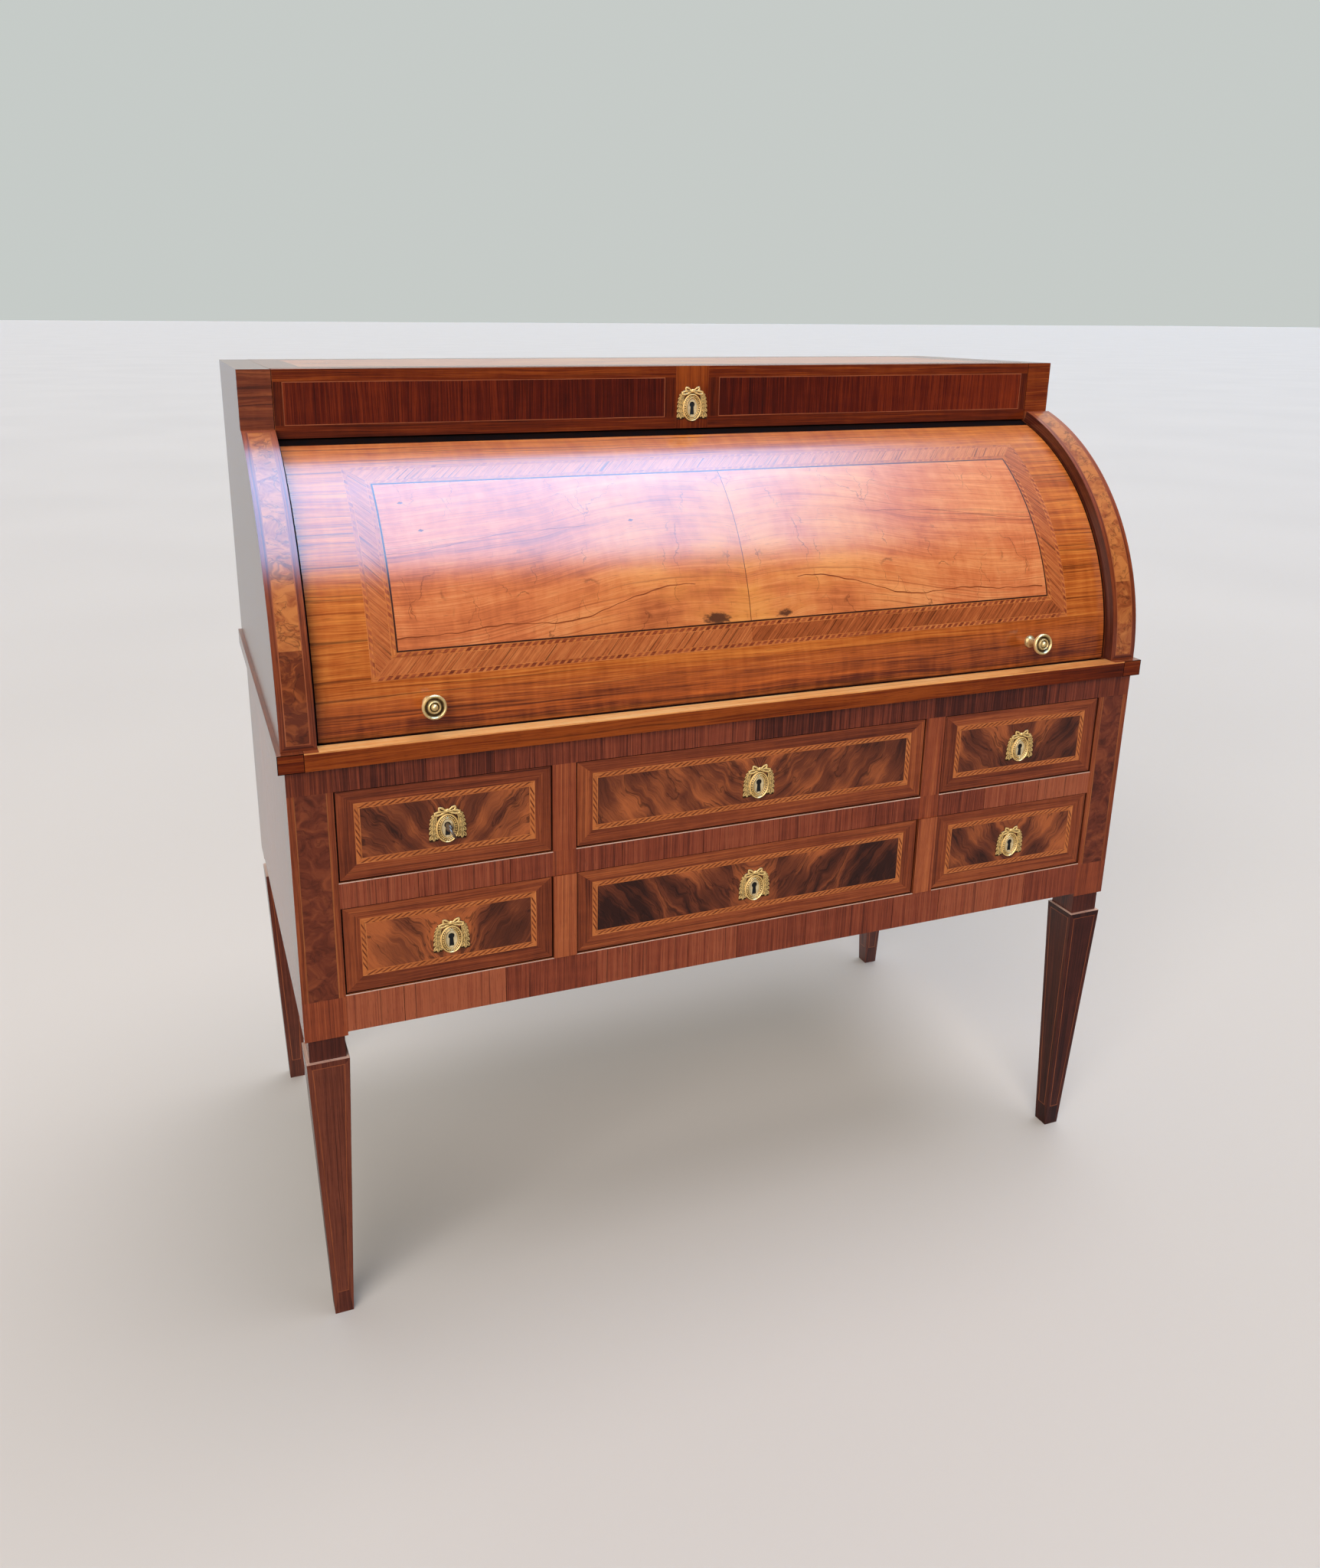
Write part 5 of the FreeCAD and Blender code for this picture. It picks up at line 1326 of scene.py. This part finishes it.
def festoon(side):
    """Leaves along a curve: u from base to tip, v around, across = wide sin(u)^1.2 cos v, less a groove."""
    t = np.linspace(0.02, 0.92, LEAF_ROWS)
    curve = ((side * 10.5, 15.5), (side * 16.8, 13.5), (side * 17.6, 2.5), (side * 17.0, -13.5))
    step = bezier(*curve, t + 0.01) - bezier(*curve, t - 0.01)
    heading = np.arctan2(step[:, 1], step[:, 0])[:, None] + np.radians([36, -36, 0])
    each = lambda values: np.broadcast_to(values, (LEAF_ROWS, 3)).reshape(-1, 1, 1)
    size, rise = each((0.74 + 0.44 * t)[:, None]), each([0.0, 0.0, 0.7])
    c, s = each(np.cos(heading)), each(np.sin(heading))
    x, z = (each(v[:, None]) for v in bezier(*curve, t).T)
    u = np.linspace(0.08, math.pi - 0.08, 6)[:, None]
    v = around_once(6)[None] + math.pi / 6
    along = size * (LEAF_LONG - LEAF_LONG * np.cos(u) + 0 * v)
    across = size * (LEAF_WIDE * np.sin(u) ** 1.2 * np.cos(v))
    groove = GROOVE * np.exp(-(across / 0.4) ** 2) * (np.sin(v) > 0) * np.sin(u)
    height = LEAF_BASE + rise + LEAF_THICK * np.sin(u) * np.sin(v) - groove
    leaves = np.stack([x + along * c - across * s, -np.maximum(height, 0.0), z + along * s + across * c], -1)
    # A painted highlight: relief bright along the leaf's two ribs and towards its tip, not set by height.
    shine = (np.sin(v) > 0) * (0.3 + 0.95 * np.abs(np.cos(v))) * (0.8 - 0.4 * np.cos(u))
    # The dark ground is widened to show round the leaves: patina and dirt, and a painted shadow round the mount.
    ground = bezier(*curve, np.linspace(0.0, 1.12, 24))
    ground = np.stack([ground[:, 0], np.full(24, -0.3), ground[:, 1]], -1)
    return [rings(leaves, "gilt", np.clip(shine, 0, 1)),
            rings(tube(ground, np.linspace(3.4, 5.6, 24), 0.4)[None], "gilt", 0.0)]


def bow_loop(side, near, far, size):
    """Ribbon loop: with k = (1 - cos t) / 2, from near to far by k, and aside by size sin t sqrt(k)."""
    t = around_once(40)
    reach = 0.5 - 0.5 * np.cos(t)
    across, up = (a + (b - a) * reach for a, b in zip(near, far))
    up = up + size * np.sin(t) * np.sqrt(reach + 0.02)
    path = np.stack([side * across, np.full_like(t, -1.3), up], -1)
    wide = RIBBON_WIDE + RIBBON_WAVE * np.sin(1.1 * np.arange(len(path) + 4))
    return rings(looped(path, wide, RIBBON_THICK)[None], "gilt", CORD_RELIEF, True)


def bead(middle, radii):
    """An ellipsoid: P = middle + (rx sin u cos v, ry sin u sin v, rz cos u)."""
    u, v = np.linspace(0.15, math.pi - 0.15, 9)[:, None], around_once(14)[None]
    ball = np.stack([np.sin(u) * np.cos(v), np.sin(u) * np.sin(v), np.cos(u) + 0 * v], -1)
    return rings((np.array(middle) + ball * np.array(radii))[None], "gilt", 0.8)


oval = rings(plate[None], "gilt", plate_relief[None], True)
inner_faces = 4 * plate.shape[1]
oval["finish"] = np.repeat(["rubbed_gilt", "gilt"], [inner_faces, len(oval["finish"]) - inner_faces])
casting = [oval, bead((0, -1.6, 18.2), (2.6, 1.6, 2.4))]
for side, _ in SIDES:
    casting += festoon(side) + [bow_loop(side, *loop) for loop in LOOPS]
print("escutcheon", sum(len(part["finish"]) for part in casting), "faces")

# %% [markdown]
# ## Seven escutcheons
#
# All seven mounts came from one mould. The same casting is moved to each keyhole, rides on its drawer and
# takes the place of the plain plate among the solids.

# %% Seven escutcheons
for drawer, keyhole_z in {**KEYHOLES, "frieze_drawer": FRIEZE_KEYHOLE}.items():
    low, high = span(f"{drawer}_front")
    seat = np.array([(low[0] + high[0]) / 2, low[1] - PROUD, keyhole_z])
    moved = [{**part, "verts": part["verts"] + seat} for part in casting]
    piece(f"{drawer}_mount", moved, drawer, [f"{drawer}_escutcheon"])

# %% [markdown]
# ## The key
#
# One key is left in the upper left drawer. Its shank is turned, with a collar and a ring, and its bow is an
# oval of round iron, so the one is a spun profile and the other a closed cord. It stands tilted in the lock,
# as a key does that hasn't been turned home.

# %% Key
SHANK = [(2.3, 16.0), (2.6, 15.4), (2.7, -9.0), (3.6, -9.6), (4.2, -10.4), (4.2, -11.2), (3.6, -12.2),
         (2.9, -12.8), (3.3, -13.6), (3.3, -14.4), (2.4, -15.4), (2.0, -16.0)]
BOW_HALF, BOW_LONG, BOW_OUT, BOW_WIRE = 7.4, 8.0, -22.6, (1.7, 1.5)
KEY_X, KEY_Y, KEY_TILT = -409.25, -279.0, math.radians(30)
t = around_once(48)
bow = looped(np.stack([BOW_HALF * np.cos(t), 0 * t, BOW_OUT + BOW_LONG * np.sin(t)], -1), *BOW_WIRE)


def in_lock(x, y, z):
    """Points turned by the key's tilt about y, (x c - z s, y, x s + z c), and moved to the keyhole."""
    c, s = math.cos(KEY_TILT), math.sin(KEY_TILT)
    return (np.stack([x * c - z * s, y, x * s + z * c], -1) + np.array([KEY_X, KEY_Y, UPPER_KEYHOLE]))[None]


across, up, out = np.moveaxis(spun(SHANK, 24), -1, 0)
bow_up, bow_across, bow_out = np.moveaxis(bow, -1, 0)
piece("key_dressed", [rings(in_lock(across, out, up), "forged_iron", 0.7),
                      rings(in_lock(bow_across, bow_out, bow_up), "forged_iron", 0.8, True)],
      "key", ["drawer_key"])

# %% [markdown]
# ## Finishes for the solids
#
# What still shows of the solids gets wood with the grain running the way the maker would have cut it: along
# rails, up posts and sides, and along the drawer sides. Insides are plain oak, and arms, pins and locks iron.

# %% Finishes for the solids
ALONG_X = ("front_top_rail", "front_middle_rail", "front_bottom_rail", "top_board", "slide_front_edge",
           "cylinder_shell", "writing_slide")
ALONG_Y = ("left_waist_moulding", "right_waist_moulding")
SLOTS = {part["node"]: part["material_slot"] for part in frame["record"]["subparts"]}
for name, thing in frame["nodes"].items():
    finish = {"walnut": "walnut_z", "oak": "oak_x", "iron": "forged_iron", "gilt_brass": "gilt"}[SLOTS[name]]
    if SLOTS[name] == "walnut" and (name in ALONG_X or name.endswith("_front")):
        finish = "walnut_x"
    elif name in ALONG_Y:
        finish = "walnut_y"
    elif SLOTS[name] == "oak" and (name.endswith("_box") or "partition" in name):
        finish = "oak_y"
    thing.data.materials.clear()
    thing.data.materials.append(bpy.data.materials[finish])
print("solids finished", len(frame["nodes"]))

# %% [markdown]
